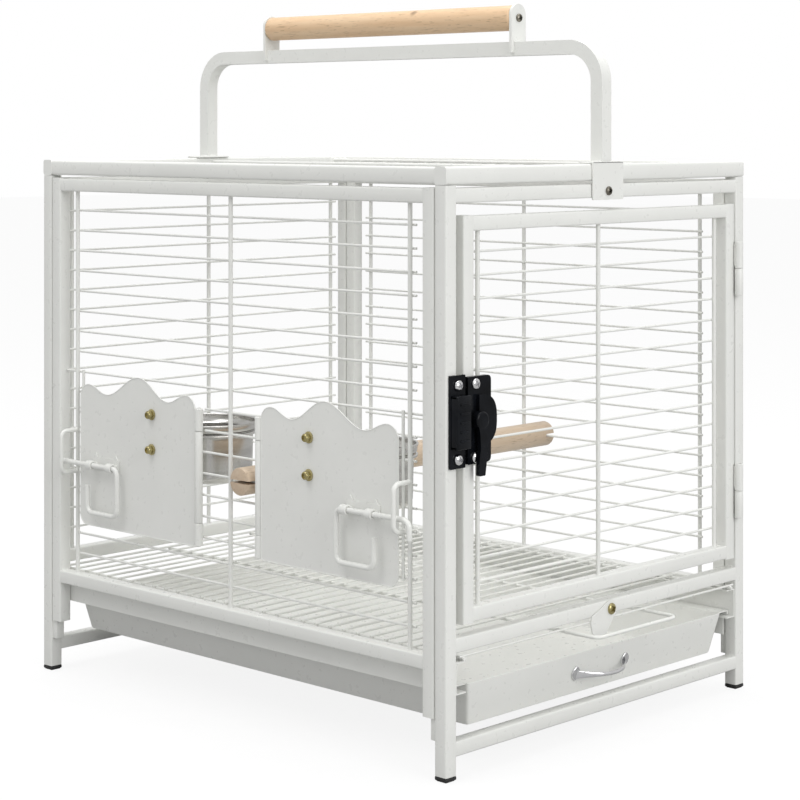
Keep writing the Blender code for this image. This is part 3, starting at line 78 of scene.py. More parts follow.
# Frames and lid
FOOT_CAP = 0.004
BOTTOM_RAIL_Z = 0.019
MID_RAIL_Z = 0.1035
LID_DEPTH = 0.015
LID_UNDER = LID_TOP - LID_DEPTH
TOP_RAIL_TOP = LID_UNDER - 0.0023
TOP_RAIL_UNDER = TOP_RAIL_TOP - TUBE
MID_RAIL_TOP = MID_RAIL_Z + TUBE
PANEL_FOOT_Z = 0.0502
PANEL_RAIL_Z = 0.088
SOCKET_REACH = 0.006
SOCKET_HEIGHT = 0.018
SOCKET_WIDTH = 0.009
FRONT_Y = -LENGTH / 2
POST_X = WIDTH / 2 - TUBE / 2
POST_Y = LENGTH / 2 - TUBE / 2
INNER_X = WIDTH / 2 - TUBE
INNER_Y = LENGTH / 2 - TUBE
STILE_Y = INNER_Y - 0.001 - TUBE / 2

# Wire
WELD = 0.0005
PITCH = 0.01965
END_SPACE = 0.012
BAR_OVERHANG = 0.005
THICK = 0.004
THIN = 0.0022
BAR_DEPTH = (THICK + THIN) / 2 - WELD
SIDE_UPRIGHT_Y = STILE_Y - TUBE / 2 - 0.0195
REAR_REACH = INNER_X - 0.0172
LID_REACH = INNER_X - 0.0160

# Front door
DOOR_LEFT_X = -INNER_X + 0.0085
DOOR_RIGHT_X = INNER_X - 0.0021
DOOR_LOW_Z = MID_RAIL_TOP + 0.0091
DOOR_HIGH_Z = TOP_RAIL_UNDER - 0.0101
DOOR_UPRIGHT_INSET = 0.0112
DOOR_MIDDLE_X = -0.004
DOOR_HINGE_X = INNER_X - 0.0021 / 2
DOOR_HINGE_Y = FRONT_Y - 0.0043
BARREL = 0.008
BARREL_PIN = 0.0042
BARREL_BORE = 0.0050
BARREL_LENGTH = 0.0255
HINGE_UPPER_Z = DOOR_HIGH_Z - 0.0614
HINGE_LOWER_Z = DOOR_LOW_Z + 0.0642

# Lock
LOCK_Z = (DOOR_LOW_Z + DOOR_HIGH_Z) / 2
LOCK_HEIGHT = 0.072
LOCK_THICK = 0.0040
LOCK_SCREWS = (LOCK_Z - 0.0306, LOCK_Z + 0.0298)
LOCK_SCREW_HEAD = 0.0092
LOCK_SCREW_RISE = 0.0034
KEEPER_LEFT = -WIDTH / 2 + 0.0025
KEEPER_WIDTH = 0.0180
KEEPER_BASE = 0.0025
KEEPER_HOUSING = 0.0440
KEEPER_DEPTH = 0.0100
KEEPER_SCREW_X = -WIDTH / 2 + 0.0112
KEEPER_CORNER = 0.0008
HOOD_EDGE = 0.0011
BASE_WIDTH = 0.0285
BASE_CORNERS = (0.0010, 0.0050, 0.0046, 0.0010)
BASE_SCREW_X = DOOR_LEFT_X + 0.0096
PIVOT_X = DOOR_LEFT_X + 0.0115
LOBE_RADIUS = 0.021
LOBE_THICK = 0.0032
LOBE_SQUARENESS = 2.7
BASE_SCREW_RISE = LOBE_THICK - 2 * FIT
HUB_DIAMETER = 0.0152
LEVER_THICK = 0.0039
LEVER_LENGTH = 0.0455

# Feeder doors
BASE_Z = 0.158875
PLATE_X = -WIDTH / 2 + 0.0031
PLATE_THICK = 0.0012
PLATE_FACE_X = PLATE_X - PLATE_THICK / 2
PLATE_BACK_X = PLATE_X + PLATE_THICK / 2
PLATE_ROUND = 0.0125
PLATE_HINGE_Y = 0.0407
PLATE_EDGE_Y = SIDE_UPRIGHT_Y - 0.0100
KNUCKLE = 0.0076
KNUCKLE_BORE = 0.0041
KNUCKLE_HEIGHT = 0.0205
HINGE_ROD = 0.0035
HINGE_TUBE = 0.0071
HINGE_LOW_Z = BASE_Z - 0.0072
HINGE_TOP_Z = BASE_Z + 0.1183
FEEDER_HINGE_X = -POST_X + BAR_DEPTH - THIN / 2 - FIT - KNUCKLE / 2
FEEDER_BOLT_Y = PLATE_HINGE_Y + 0.0655
FEEDER_BOLT_RISES = (0.0741, 0.1068)
GUARD_INSET = 0.0085
GUARD_WIRE = 0.0028
BOLT_X = -WIDTH / 2 - 0.0055
BOLT_Z = BASE_Z + 0.0516
STAPLE_X = -WIDTH / 2 - 0.0135
STAPLE_WIRE = 0.0043
STAPLE_HEIGHT = 0.040
CLIP = 0.0088
CLIP_BORE = 0.0057
STRAP_SHEET = 0.0015

# Cups
CUP_X = PLATE_X + 0.0690
CUP_RADIUS = 0.0475
CUP_BODY_RADIUS = 0.0436
CUP_Z = BASE_Z + 0.0390
CUP_STEP = 0.0475
CUP_HEIGHT = 0.0563
CUP_WALL = 0.0008
CUP_FOOT_ROUND = 0.008
RING_WIRE = 0.0032

# Perch, grip and arch
PERCH_DIAMETER = 0.025
PERCH_Y = -0.0211
PERCH_Z = 0.217825
PERCH_END_X = WIDTH / 2 + 0.0025
ARCH_TOP = LID_TOP + 0.1105
ARCH_RADIUS = 0.038
STRAP_Y = 0.1660
STRAP_WIDTH = 0.020
STRAP_THICK = 0.003
STRAP_RISE = 0.035
GRIP_Z = ARCH_TOP + 0.022
GRIP_DIAMETER = 0.0235
KNOT_AT = (-0.0070, -0.0420, GRIP_Z + 0.0085)
ARCH_PLATE_WIDTH = 0.043
ARCH_PLATE_THICK = 0.0015
SCREW_HOLE = 0.0023
ARCH_SCREW_Z = TOP_RAIL_TOP - 0.0067

# Floor grille, tray and swivel tab
GRILLE_Z = MID_RAIL_Z - 0.0032
GRILLE_PITCH = 0.017
GRILLE_HALF_X = INNER_X - 0.0040
GRILLE_FIRST_Y = FRONT_Y + 0.0012
GRILLE_STRINGER = 0.0032
GRILLE_PULL_WIDTH = 0.113
GRILLE_PULL_REACH = 0.036
TRAY_DEPTH = 0.0377
TRAY_WALL = 0.0012
TRAY_TOP = 0.0752
TRAY_HALF_X = 0.1784
TRAY_LIP = 0.0161
TRAY_HEM = 0.0045
TRAY_FLARE = 0.0077
TRAY_FRONT_Y = FRONT_Y + 0.0043
TRAY_REAR_Y = LENGTH / 2 - 0.0180
TRAY_PULL_Z = TRAY_TOP - 0.0195
TRAY_PULL_HALF = 0.0347
TRAY_PULL_REACH = 0.0165
TAB_X = 0.0045
TAB_Z = MID_RAIL_TOP - 0.0080
TAB_THICK = 0.0012

# Light: the world's strength, and what camera rays see on the floor, of which a share is plain white
AMBIENT = 0.71
FLOOR_SHARE = 0.72
FLOOR_GLOW = 1.22
SOFT_BOXES = {
    "key_light": ((-0.5, -3.0, 1.4), 1.6, 36.0),
    "side_light": ((-1.3, 0.1, 2.0), 0.9, 9.0),
    "top_light": ((0.2, 0.2, 3.0), 2.0, 43.0),
}

TURN = {
    "X": Matrix.Rotation(math.radians(90), 4, "Y"),
    "Y": Matrix.Rotation(math.radians(-90), 4, "X"),
    "Z": Matrix.Identity(4),
}


def rows(low, high):
    """Places of evenly spaced bars between two rails, centred in the space."""
    count = 1 + int((high - low - 2 * END_SPACE) / PITCH)
    first = (low + high - PITCH * (count - 1)) / 2
    return [first + PITCH * index for index in range(count)]


SIDE_BARS = rows(PANEL_RAIL_Z + TUBE, TOP_RAIL_UNDER)
# Which of those bars run under and over the feeder openings
OPENING_SILL = 2
OPENING_HEAD = 9


def size_property(name, description, default, low, high):
    return FloatProperty(name=name, description=description, default=default, min=low, max=high,
                         subtype="DISTANCE", unit="LENGTH")


def colour_property(name, description, default):
    return FloatVectorProperty(name=name, description=description, default=default, min=0.0, max=1.0,
                               size=3, subtype="COLOR")


class CageSizes(bpy.types.PropertyGroup):
    """Sizes of the finish that can be changed without touching the frame"""

    tube_edge: size_property("Tube edge", "Radius of the long edges of the tube", 0.0015, 0.0002, 0.004)
    sheet_edge: size_property("Sheet edge", "Radius of the coated edges of sheet", 0.0004, 0.0001, 0.0006)
    bead: size_property("Weld bead", "Radius of the bead where a wire meets a tube", 0.0031, 0.001, 0.006)
    rim: size_property("Cup rim", "Radius of the rolled rim of a cup", 0.0011, 0.0005, 0.003)
    round_steps: IntProperty(name="Round steps", description="Sides of a round", default=48, min=12, max=96)


class CageColours(bpy.types.PropertyGroup):
    """Colours of the finishes"""

    coat: colour_property("Coat", "Powder coat on the tube, wire and sheet", (0.80, 0.805, 0.775))
    enamel: colour_property("Enamel", "Black enamel of the lock", (0.0028, 0.0033, 0.0044))
    plastic: colour_property("Plastic", "Caps of the feet", (0.012, 0.012, 0.012))
    chrome: colour_property("Chrome", "Lock screws and tray pull", (0.80, 0.80, 0.81))
    stainless: colour_property("Stainless", "Cups and their rings", (0.62, 0.61, 0.59))
    zinc: colour_property("Yellow zinc", "Bolts and nuts of the feeder doors", (0.52, 0.45, 0.22))
    dark: colour_property("Dark steel", "Screws of the arch and grip", (0.26, 0.24, 0.20))
    wood: colour_property("Wood", "Pale part of the beech", (0.80, 0.595, 0.39))
    grain: colour_property("Grain", "Dark part of the beech", (0.58, 0.37, 0.205))
    # The perch's beech colours are darker and greyer than the grip's: the grey cast is painted haze of light
    # seen through the door
    perch: colour_property("Perch", "Pale part of the bare perch", (0.62, 0.50, 0.38))
    perch_grain: colour_property("Perch grain", "Dark part of the bare perch", (0.44, 0.325, 0.215))
    background: colour_property("Background", "Floor and backdrop", (1.0, 1.0, 1.0))


class Signal:
    """A shader socket that can stand in a sum or a product: each operator adds one Math node."""

    def __init__(self, tree, socket):
        self.tree = tree
        self.socket = socket

    def maths(self, operation, first, second):
        node = self.tree.nodes.new("ShaderNodeMath")
        node.operation = operation
        for place, value in zip(node.inputs, (first, second)):
            if isinstance(value, Signal):
                self.tree.links.new(value.socket, place)
            else:
                place.default_value = value
        return Signal(self.tree, node.outputs[0])

    def __add__(self, other):
        return self.maths("ADD", self, other)

    def __radd__(self, other):
        return self.maths("ADD", other, self)

    def __mul__(self, other):
        return self.maths("MULTIPLY", self, other)

    def __rmul__(self, other):
        return self.maths("MULTIPLY", other, self)


class Finish:
    """One material: its nodes are made by node(), its sums are written as expressions of signals."""

    def __init__(self, name, metallic=0.0):
        self.material = bpy.data.materials.new(name)
        self.material.use_nodes = True
        self.tree = self.material.node_tree
        self.tree.nodes.clear()
        self.surface = self.tree.nodes.new("ShaderNodeBsdfPrincipled")
        self.surface.inputs["Metallic"].default_value = metallic
        self.output = self.tree.nodes.new("ShaderNodeOutputMaterial")
        self.tree.links.new(self.surface.outputs["BSDF"], self.output.inputs["Surface"])

    def node(self, kind, settings, values, result):
        """Adds a node of any kind: settings first, then socket values or links. Returns one output."""
        node = self.tree.nodes.new(kind)
        for name, setting in settings.items():
            setattr(node, name, setting)
        for name, value in values.items():
            self.put(node.inputs[name], value)
        return Signal(self.tree, node.outputs[result])

    def put(self, place, value):
        if isinstance(value, Signal):
            self.tree.links.new(value.socket, place)
        elif hasattr(value, "__len__"):
            place.default_value = tuple(value) + ((1.0,) if len(place.default_value) == 4 else ())
        else:
            place.default_value = value

    def place(self, scale=(1.0, 1.0, 1.0)):
        """Where a point lies on the piece, in metres, stretched by scale."""
        where = self.node("ShaderNodeTexCoord", {}, {}, "Object")
        return self.node("ShaderNodeVectorMath", {"operation": "MULTIPLY"}, {0: where, 1: scale}, 0)

    def noise(self, scale, detail=2.0, roughness=0.5, stretch=(1.0, 1.0, 1.0)):
        values = {"Vector": self.place(stretch), "Scale": scale, "Detail": detail, "Roughness": roughness}
        return self.node("ShaderNodeTexNoise", {}, values, "Fac")

    def between(self, share, low, high):
        """A number that runs from low to high as share, a noise about one half, runs over its middle."""
        values = {"Value": share, "From Min": 0.3, "From Max": 0.7, "To Min": low, "To Max": high}
        return self.node("ShaderNodeMapRange", {"clamp": True}, values, "Result")

    def mix(self, share, first, second):
        """A colour between two colours."""
        node = self.tree.nodes.new("ShaderNodeMix")
        node.data_type = "RGBA"
        self.put(node.inputs["Factor"], share)
        self.put(node.inputs[6], first)
        self.put(node.inputs[7], second)
        return Signal(self.tree, node.outputs[2])

    def bump(self, height, distance, strength=1.0, under=None):
        values = {"Height": height, "Distance": distance, "Strength": strength}
        if under is not None:
            values["Normal"] = under
        return self.node("ShaderNodeBump", {}, values, "Normal")

    def finish(self, colour, roughness, normal=None, coat=0.0, mirror=0.5):
        self.put(self.surface.inputs["Base Color"], colour)
        self.put(self.surface.inputs["Roughness"], roughness)
        if normal is not None:
            self.put(self.surface.inputs["Normal"], normal)
        self.surface.inputs["Coat Weight"].default_value = coat
        self.surface.inputs["Specular IOR Level"].default_value = mirror
        return self.material


def shade(colour, share):
    """A colour made lighter or darker by a share."""
    return tuple(min(1.0, part * share) for part in colour)


def powder_coat(colour):
    """Baked powder: slight clouds in the tint, a fine orange peel and softer gloss in its hollows."""
    coat = Finish("white_powder_coat")
    clouds = coat.noise(9.0, 3.0)
    peel = coat.noise(900.0, 1.0)
    waves = coat.noise(160.0)
    tint = coat.mix(coat.between(clouds, 0.0, 1.0), shade(colour, 0.975), shade(colour, 1.015))
    tint = coat.mix(coat.between(coat.noise(60.0, 4.0), 0.0, 0.25), tint, shade(colour, 0.93))
    normal = coat.bump(peel, 0.00006, 0.5, coat.bump(waves, 0.0002, 0.35))
    return coat.finish(tint, coat.between(waves, 0.26, 0.40), normal)


def cast_enamel(colour):
    """Black enamel baked over die-cast metal, with a slightly uneven skin."""
    enamel = Finish("black_cast_enamel")
    skin = enamel.noise(240.0, 3.0)
    tint = enamel.mix(enamel.between(enamel.noise(70.0, 3.0), 0.0, 1.0), colour, shade(colour, 2.4))
    return enamel.finish(tint, enamel.between(skin, 0.10, 0.24), enamel.bump(skin, 0.0002, 0.4), 0.0, 0.16)


def foot_plastic(colour):
    """Moulded cap plastic with a fine satin texture."""
    plastic = Finish("black_foot_plastic")
    grit = plastic.noise(1400.0)
    tint = plastic.mix(plastic.between(plastic.noise(120.0), 0.0, 1.0), colour, shade(colour, 2.0))
    return plastic.finish(tint, plastic.between(grit, 0.45, 0.62), plastic.bump(grit, 0.0001, 0.4))


def plated(name, colour, low, high, stain):
    """Bright plating: clouded colour, and gloss that varies along fine wiping marks."""
    plate = Finish(name, metallic=1.0)
    marks = plate.noise(380.0, 4.0, 0.6, (1.0, 0.25, 1.0))
    clouds = plate.noise(110.0, 3.0)
    tint = plate.mix(plate.between(clouds, 0.0, 1.0), colour, shade(colour, stain))
    return plate.finish(tint, plate.between(marks, low, high), plate.bump(marks, 0.00005, 0.3))


def spun_stainless(colour):
    """Stainless steel spun on a lathe: each height has its own shade and gloss, all the way round."""
    steel = Finish("spun_stainless", metallic=1.0)
    rings = steel.noise(1.0, 4.0, 0.7, (12.0, 12.0, 2600.0))
    bands = steel.noise(1.0, 2.0, 0.5, (4.0, 4.0, 180.0))
    tint = steel.mix(steel.between(bands, 0.0, 1.0), shade(colour, 0.82), shade(colour, 1.1))
    roughness = steel.between(rings, 0.13, 0.24) + 0.04 * bands
    return steel.finish(tint, roughness, steel.bump(rings, 0.00004, 0.35))


def grain_scale(along, lengthwise, across):
    return tuple(lengthwise if axis == along else across for axis in "XYZ")


def beech(name, pale, dark, along):
    """Beech with long grain and short dark flecks. The grip, which lies along Y, has one small knot."""
    wood = Finish(name)
    bands = wood.noise(1.0, 3.0, 0.55, grain_scale(along, 7.0, 120.0))
    flecks = wood.noise(1.0, 1.0, 0.5, grain_scale(along, 90.0, 900.0))
    fine = wood.noise(1.0, 5.0, 0.6, grain_scale(along, 30.0, 300.0))
    tint = wood.mix(wood.between(bands, 0.0, 0.55), pale, shade(dark, 1.25))
    tint = wood.mix(wood.between(fine, 0.0, 0.30), tint, dark)
    values = {"Value": flecks, "From Min": 0.62, "From Max": 0.70, "To Min": 0.0, "To Max": 0.55}
    spots = wood.node("ShaderNodeMapRange", {"clamp": True}, values, "Result")
    tint = wood.mix(spots, tint, shade(dark, 0.7))
    if along == "Y":
        ends = {0: wood.place(), 1: KNOT_AT}
        away = wood.node("ShaderNodeVectorMath", {"operation": "DISTANCE"}, ends, "Value")
        values = {"Value": away + 0.004 * fine, "From Min": 0.0030, "From Max": 0.0075}
        values.update({"To Min": 0.8, "To Max": 0.0})
        settings = {"clamp": True, "interpolation_type": "SMOOTHSTEP"}
        core = wood.node("ShaderNodeMapRange", settings, values, "Result")
        tint = wood.mix(core, tint, shade(dark, 0.45))
    normal = wood.bump(fine, 0.00012, 0.4)
    return wood.finish(tint, wood.between(bands, 0.36, 0.48), normal, 0.15)


def make_finishes(colours):
    """Every material by the name of the record's slot. The perch's beech is darker and greyer than the
    grip's; its grey cast is painted haze.
    """
    return {
        "white_coat": powder_coat(colours.coat),
        "black_cast": cast_enamel(colours.enamel),
        "black_plastic": foot_plastic(colours.plastic),
        "chrome_plate": plated("chrome_plate", colours.chrome, 0.08, 0.18, 0.90),
        "stainless": spun_stainless(colours.stainless),
        "brass_plate": plated("yellow_zinc", colours.zinc, 0.22, 0.36, 0.72),
        "dark_steel": plated("dark_steel", colours.dark, 0.28, 0.45, 0.60),
        "beech": beech("beech_grip", colours.wood, colours.grain, "Y"),
        "hazy_beech_perch": beech("hazy_beech_perch", colours.perch, colours.perch_grain, "X"),
    }


FINISHES = {}


def finish_for(name):
    """The shared finish of that name, made with all the others the first time one is asked for."""
    if not FINISHES:
        FINISHES.update(make_finishes(bpy.context.scene.cage_colours))
    return FINISHES[name]


def sizes():
    return bpy.context.scene.cage_sizes


def shade_by_angle(mesh):
    """Smooth shading that keeps every edge of more than 35 degrees sharp."""
    mesh.shade_smooth()
    mesh.set_sharp_from_angle(angle=math.radians(35))


def new_object(name, data):
    """An object drawn in the cage's own frame, whose middle is CENTRE."""
    obj = bpy.data.objects.new(name, data)
    obj.location = CENTRE
    bpy.context.scene.collection.objects.link(obj)
    return obj


class Shape:
    """A mesh that grows from simple solids, drawn in the cage's own frame."""

    def __init__(self):
        self.grid = bmesh.new()

    def take(self, grid):
        """Adds another mesh and uses it up."""
        mesh = bpy.data.meshes.new("solid")
        grid.to_mesh(mesh)
        grid.free()
        self.grid.from_mesh(mesh)
        bpy.data.meshes.remove(mesh)

    def block(self, low, high, edge=0.0, along=None):
        """A box between two corners; edge rounds all its edges, or those along one axis."""
        low = Vector(low)
        high = Vector(high)
        grid = bmesh.new()
        size = Matrix.Diagonal((*(high - low), 1.0))
        bmesh.ops.create_cube(grid, size=1.0, matrix=Matrix.Translation((low + high) / 2) @ size)
        if edge:
            lines = grid.edges[:]
            if along is not None:
                runs = {line: (line.verts[1].co - line.verts[0].co).normalized() for line in lines}
                lines = [line for line in lines if abs(runs[line]["XYZ".index(along)]) > 0.9]
            bmesh.ops.bevel(grid, geom=lines, offset=edge, segments=3, profile=0.5, affect="EDGES")
        self.take(grid)

    def tube(self, start, end, side, edge):
        """A length of square tube with rounded long edges."""
        run = Vector(end) - Vector(start)
        axis = max(range(3), key=lambda i: abs(run[i]))
        half = Vector((side / 2, side / 2, side / 2))
        half[axis] = 0.0
        low = Vector([min(a, b) for a, b in zip(start, end)]) - half
        high = Vector([max(a, b) for a, b in zip(start, end)]) + half
        self.block(low, high, edge, "XYZ"[axis])

    def rod(self, centre, axis, diameter, length, sides, edge):
        """A round or polygonal bar about a centre, with broken end edges."""
        grid = bmesh.new()
        place = Matrix.Translation(centre) @ TURN[axis]
        bmesh.ops.create_cone(grid, cap_ends=True, segments=sides, radius1=diameter / 2,
                              radius2=diameter / 2, depth=length, matrix=place)
        rims = [line for line in grid.edges if any(len(face.verts) == sides for face in line.link_faces)]
        bmesh.ops.bevel(grid, geom=rims, offset=edge, segments=2, profile=0.5, affect="EDGES")
        self.take(grid)

    def bead(self, centre, size):
        """A small rounded blob of weld: size is its extent along each axis."""
        grid = bmesh.new()
        place = Matrix.Translation(centre) @ Matrix.Diagonal((size[0] / 2, size[1] / 2, size[2] / 2, 1.0))
        bmesh.ops.create_icosphere(grid, subdivisions=2, radius=1.0, matrix=place)
        self.take(grid)

    def turned(self, profile, centre, axis="Z", steps=48):
        """A turned solid or shell: the profile is (radius, height) along the axis."""
        grid = bmesh.new()
        knots = [grid.verts.new((radius, 0.0, height)) for radius, height in profile]
        lines = [grid.edges.new(pair) for pair in zip(knots, knots[1:])]
        bmesh.ops.spin(grid, geom=knots + lines, cent=(0, 0, 0), axis=(0, 0, 1), angle=math.tau, steps=steps,
                       use_merge=True)
        bmesh.ops.remove_doubles(grid, verts=grid.verts, dist=1e-6)
        bmesh.ops.recalc_face_normals(grid, faces=grid.faces)
        bmesh.ops.transform(grid, matrix=Matrix.Translation(centre) @ TURN[axis], verts=grid.verts)
        self.take(grid)

    def finish(self, name):
        mesh = bpy.data.meshes.new(name)
        bmesh.ops.recalc_face_normals(self.grid, faces=self.grid.faces)
        self.grid.to_mesh(mesh)
        self.grid.free()
        shade_by_angle(mesh)
        return new_object(name, mesh)


def wire_object(name, routes, diameter, resolution=3, closed=False):
    """Round wires along their points, as one curve."""
    curve = bpy.data.curves.new(name, "CURVE")
    curve.dimensions = "3D"
    curve.bevel_depth = diameter / 2
    curve.bevel_resolution = resolution
    curve.use_fill_caps = True
    for route in routes:
        spline = curve.splines.new("POLY")
        spline.points.add(len(route) - 1)
        for knot, point in zip(spline.points, route):
            knot.co = (*point, 1.0)
        spline.use_cyclic_u = closed
        spline.use_smooth = True
    return new_object(name, curve)


def rounded_path(corners, radius, steps=8):
    """The points of a bent wire, with an arc in place of each inner corner."""
    points = [Vector(corners[0])]
    for before, corner, after in zip(corners, corners[1:], corners[2:]):
        corner = Vector(corner)
        back = (Vector(before) - corner).normalized()
        ahead = (Vector(after) - corner).normalized()
        half = back.angle(ahead) / 2
        trim = radius / math.tan(half)
        middle = corner + (back + ahead).normalized() * (radius / math.sin(half))
        first = (corner + back * trim - middle).normalized()
        last = (corner + ahead * trim - middle).normalized()
        for step in range(steps + 1):
            points.append(middle + radius * first.slerp(last, step / steps))
    points.append(Vector(corners[-1]))
    return points


def arc(centre, radius, start, end, steps):
    """Points of an arc in a plane, from one angle to another in degrees."""
    points = []
    for step in range(steps + 1):
        angle = math.radians(start + (end - start) * step / steps)
        points.append((centre[0] + radius * math.cos(angle), centre[1] + radius * math.sin(angle)))
    return points


def rounded_outline(corners, radius, steps=6):
    """A closed outline whose corners are rounded; radius is one size or one for each corner."""
    points = []
    count = len(corners)
    for index, corner in enumerate(corners):
        round_off = radius[index] if isinstance(radius, (tuple, list)) else radius
        corner = Vector(corner)
        back = (Vector(corners[index - 1]) - corner).normalized()
        ahead = (Vector(corners[(index + 1) % count]) - corner).normalized()
        trim = round_off / math.tan(back.angle(ahead) / 2)
        for step in range(steps + 1):
            share = step / steps
            entry = corner + back * trim
            leave = corner + ahead * trim
            points.append(entry * (1 - share) ** 2 + corner * 2 * share * (1 - share) + leave * share**2)
    return [(point.x, point.y) for point in points]


def sheet_object(name, outlines, thickness, centre, axis, edge=0.0003):
    """A flat plate from closed outlines, the first its edge and the rest its holes, with softened edges.

    An outline's points are (across, up): (Y, Z) for X, (X, Z) for Y and (X, Y) for Z.
    """
    curve = bpy.data.curves.new(name, "CURVE")
    curve.dimensions = "2D"
    curve.fill_mode = "BOTH"
    curve.extrude = thickness / 2
    for outline in outlines:
        spline = curve.splines.new("POLY")
        spline.points.add(len(outline) - 1)
        for knot, point in zip(spline.points, outline):
            knot.co = (point[0], point[1], 0.0, 1.0)
        spline.use_cyclic_u = True
    stand = {
        "X": Matrix(((0, 0, 1, 0), (1, 0, 0, 0), (0, 1, 0, 0), (0, 0, 0, 1))),
        "Y": Matrix(((1, 0, 0, 0), (0, 0, -1, 0), (0, 1, 0, 0), (0, 0, 0, 1))),
        "Z": Matrix.Identity(4),
    }
    flat = bpy.data.objects.new(name, curve)
    bpy.context.scene.collection.objects.link(flat)
    bpy.context.view_layer.update()
    graph = bpy.context.evaluated_depsgraph_get()
    mesh = bpy.data.meshes.new_from_object(flat.evaluated_get(graph))
    bpy.data.objects.remove(flat, do_unlink=True)
    grid = bmesh.new()
    grid.from_mesh(mesh)
    bmesh.ops.remove_doubles(grid, verts=grid.verts, dist=1e-6)
    bmesh.ops.transform(grid, matrix=Matrix.Translation(centre) @ stand[axis], verts=grid.verts)
    bmesh.ops.recalc_face_normals(grid, faces=grid.faces)
    grid.to_mesh(mesh)
    grid.free()
    mesh.name = name
    plate = new_object(name, mesh)
    bevel = plate.modifiers.new("soft_edges", "BEVEL")
    bevel.width = edge
    bevel.segments = 2
    bevel.limit_method = "ANGLE"
    bevel.angle_limit = math.radians(40)
    shade_by_angle(mesh)
    return plate


def place(obj, body, slot, node, finish=None):
    """Gives a piece its finish and its body, and lets it stand for a node of the frame."""
    obj.data.materials.clear()
    obj.data.materials.append(finish_for(finish or slot))
    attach(obj, body)
    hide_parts(node)


def place_coated(obj, body, node):
    """Places a piece that has the white powder coat."""
    place(obj, body, "white_coat", node)


def weld_bead(shape, end, axis, bead):
    """The small collar of weld where a wire meets a tube; axis is the wire's own."""
    size = [bead * 1.5, bead * 1.5, bead * 1.5]
    size["XYZ".index(axis)] = bead * 0.75
    shape.bead(end, size)


def crossing(shape, point, axis, other):
    """The flattened weld where two wires cross: axis is the first wire's, other the second's."""
    size = [THIN * 1.05] * 3
    size["XYZ".index(axis)] = THIN * 1.5
    size["XYZ".index(other)] = THICK * 0.80
    shape.bead(point, size)


def on_wall(along, across, depth, z):
    """A point of a wall whose bars run along X or Y: across is its place along the wall."""
    return (across, depth, z) if along == "X" else (depth, across, z)


def wall_bars(along, start, end, depth, heights):
    return [(on_wall(along, start, depth, z), on_wall(along, end, depth, z)) for z in heights]


def welded_uprights(shape, along, stations, foot, head, depth, bar_depth, heights):
    """Thick uprights between two rails, with their beads and the weld of every bar across them."""
    routes = []
    for across in stations:
        low = on_wall(along, across, depth, foot)
        high = on_wall(along, across, depth, head)
        routes.append((low, high))
        weld_bead(shape, low, "Z", sizes().bead)
        weld_bead(shape, high, "Z", sizes().bead)
        for z in heights:
            crossing(shape, on_wall(along, across, (depth + bar_depth) / 2, z), along, "Z")
    return routes


def finish_grille(shape, name, body, node, wires):
    """Places the tubes and beads as one piece, and each set of wires, given by name, as another."""
    place_coated(shape.finish(name), body, node)
    for wire, (routes, diameter) in wires.items():
        place_coated(wire_object(wire, routes, diameter), body, node)


def frame_rails(y):
    """Two posts and three rails of one end of the cage, with the weld seam round each rail's end."""
    shape = Shape()
    edge = sizes().tube_edge
    for x in (-POST_X, POST_X):
        shape.tube((x, y, FOOT_CAP + FIT), (x, y, LID_UNDER - FIT), TUBE, edge)
    for z in (BOTTOM_RAIL_Z + TUBE / 2, MID_RAIL_Z + TUBE / 2, TOP_RAIL_TOP - TUBE / 2):
        shape.tube((-POST_X, y, z), (POST_X, y, z), TUBE - 2 * RAIL_STEP, edge)
        for side in (-1, 1):
            for up in (-1, 1):
                corner = (side * (POST_X - TUBE / 2), y, z + up * (TUBE / 2 - RAIL_STEP))
                shape.bead(corner, (0.0022, TUBE * 0.80, 0.0018))
    inwards = -math.copysign(1.0, y)
    face = y + inwards * TUBE / 2
    near, far = sorted((face - inwards * 0.001, face + inwards * SOCKET_REACH))
    for x in (-POST_X, POST_X):
        low = (x - SOCKET_WIDTH / 2, near, PANEL_FOOT_Z - FIT - SOCKET_HEIGHT)
        shape.block(low, (x + SOCKET_WIDTH / 2, far, PANEL_FOOT_Z - FIT), 0.0006)
    return shape


def make_front_frame():
    """The open end frame."""
    place_coated(frame_rails(-POST_Y).finish("front_frame_tubes"), "cage", "front_frame")


def make_rear_frame():
    """The closed end frame and its welded wire."""
    shape = frame_rails(POST_Y)
    bar_y = POST_Y - BAR_DEPTH
    heights = rows(MID_RAIL_TOP, TOP_RAIL_UNDER)
    stations = (-REAR_REACH, 0.0, REAR_REACH)
    uprights = welded_uprights(shape, "X", stations, MID_RAIL_TOP - RAIL_STEP, TOP_RAIL_UNDER + RAIL_STEP,
                               POST_Y, bar_y, heights)
    bars = wall_bars("X", -REAR_REACH - BAR_OVERHANG, REAR_REACH + BAR_OVERHANG, bar_y, heights)
    finish_grille(shape, "rear_frame_tubes", "cage", "rear_frame",
                  {"rear_uprights": (uprights, THICK), "rear_bars": (bars, THIN)})


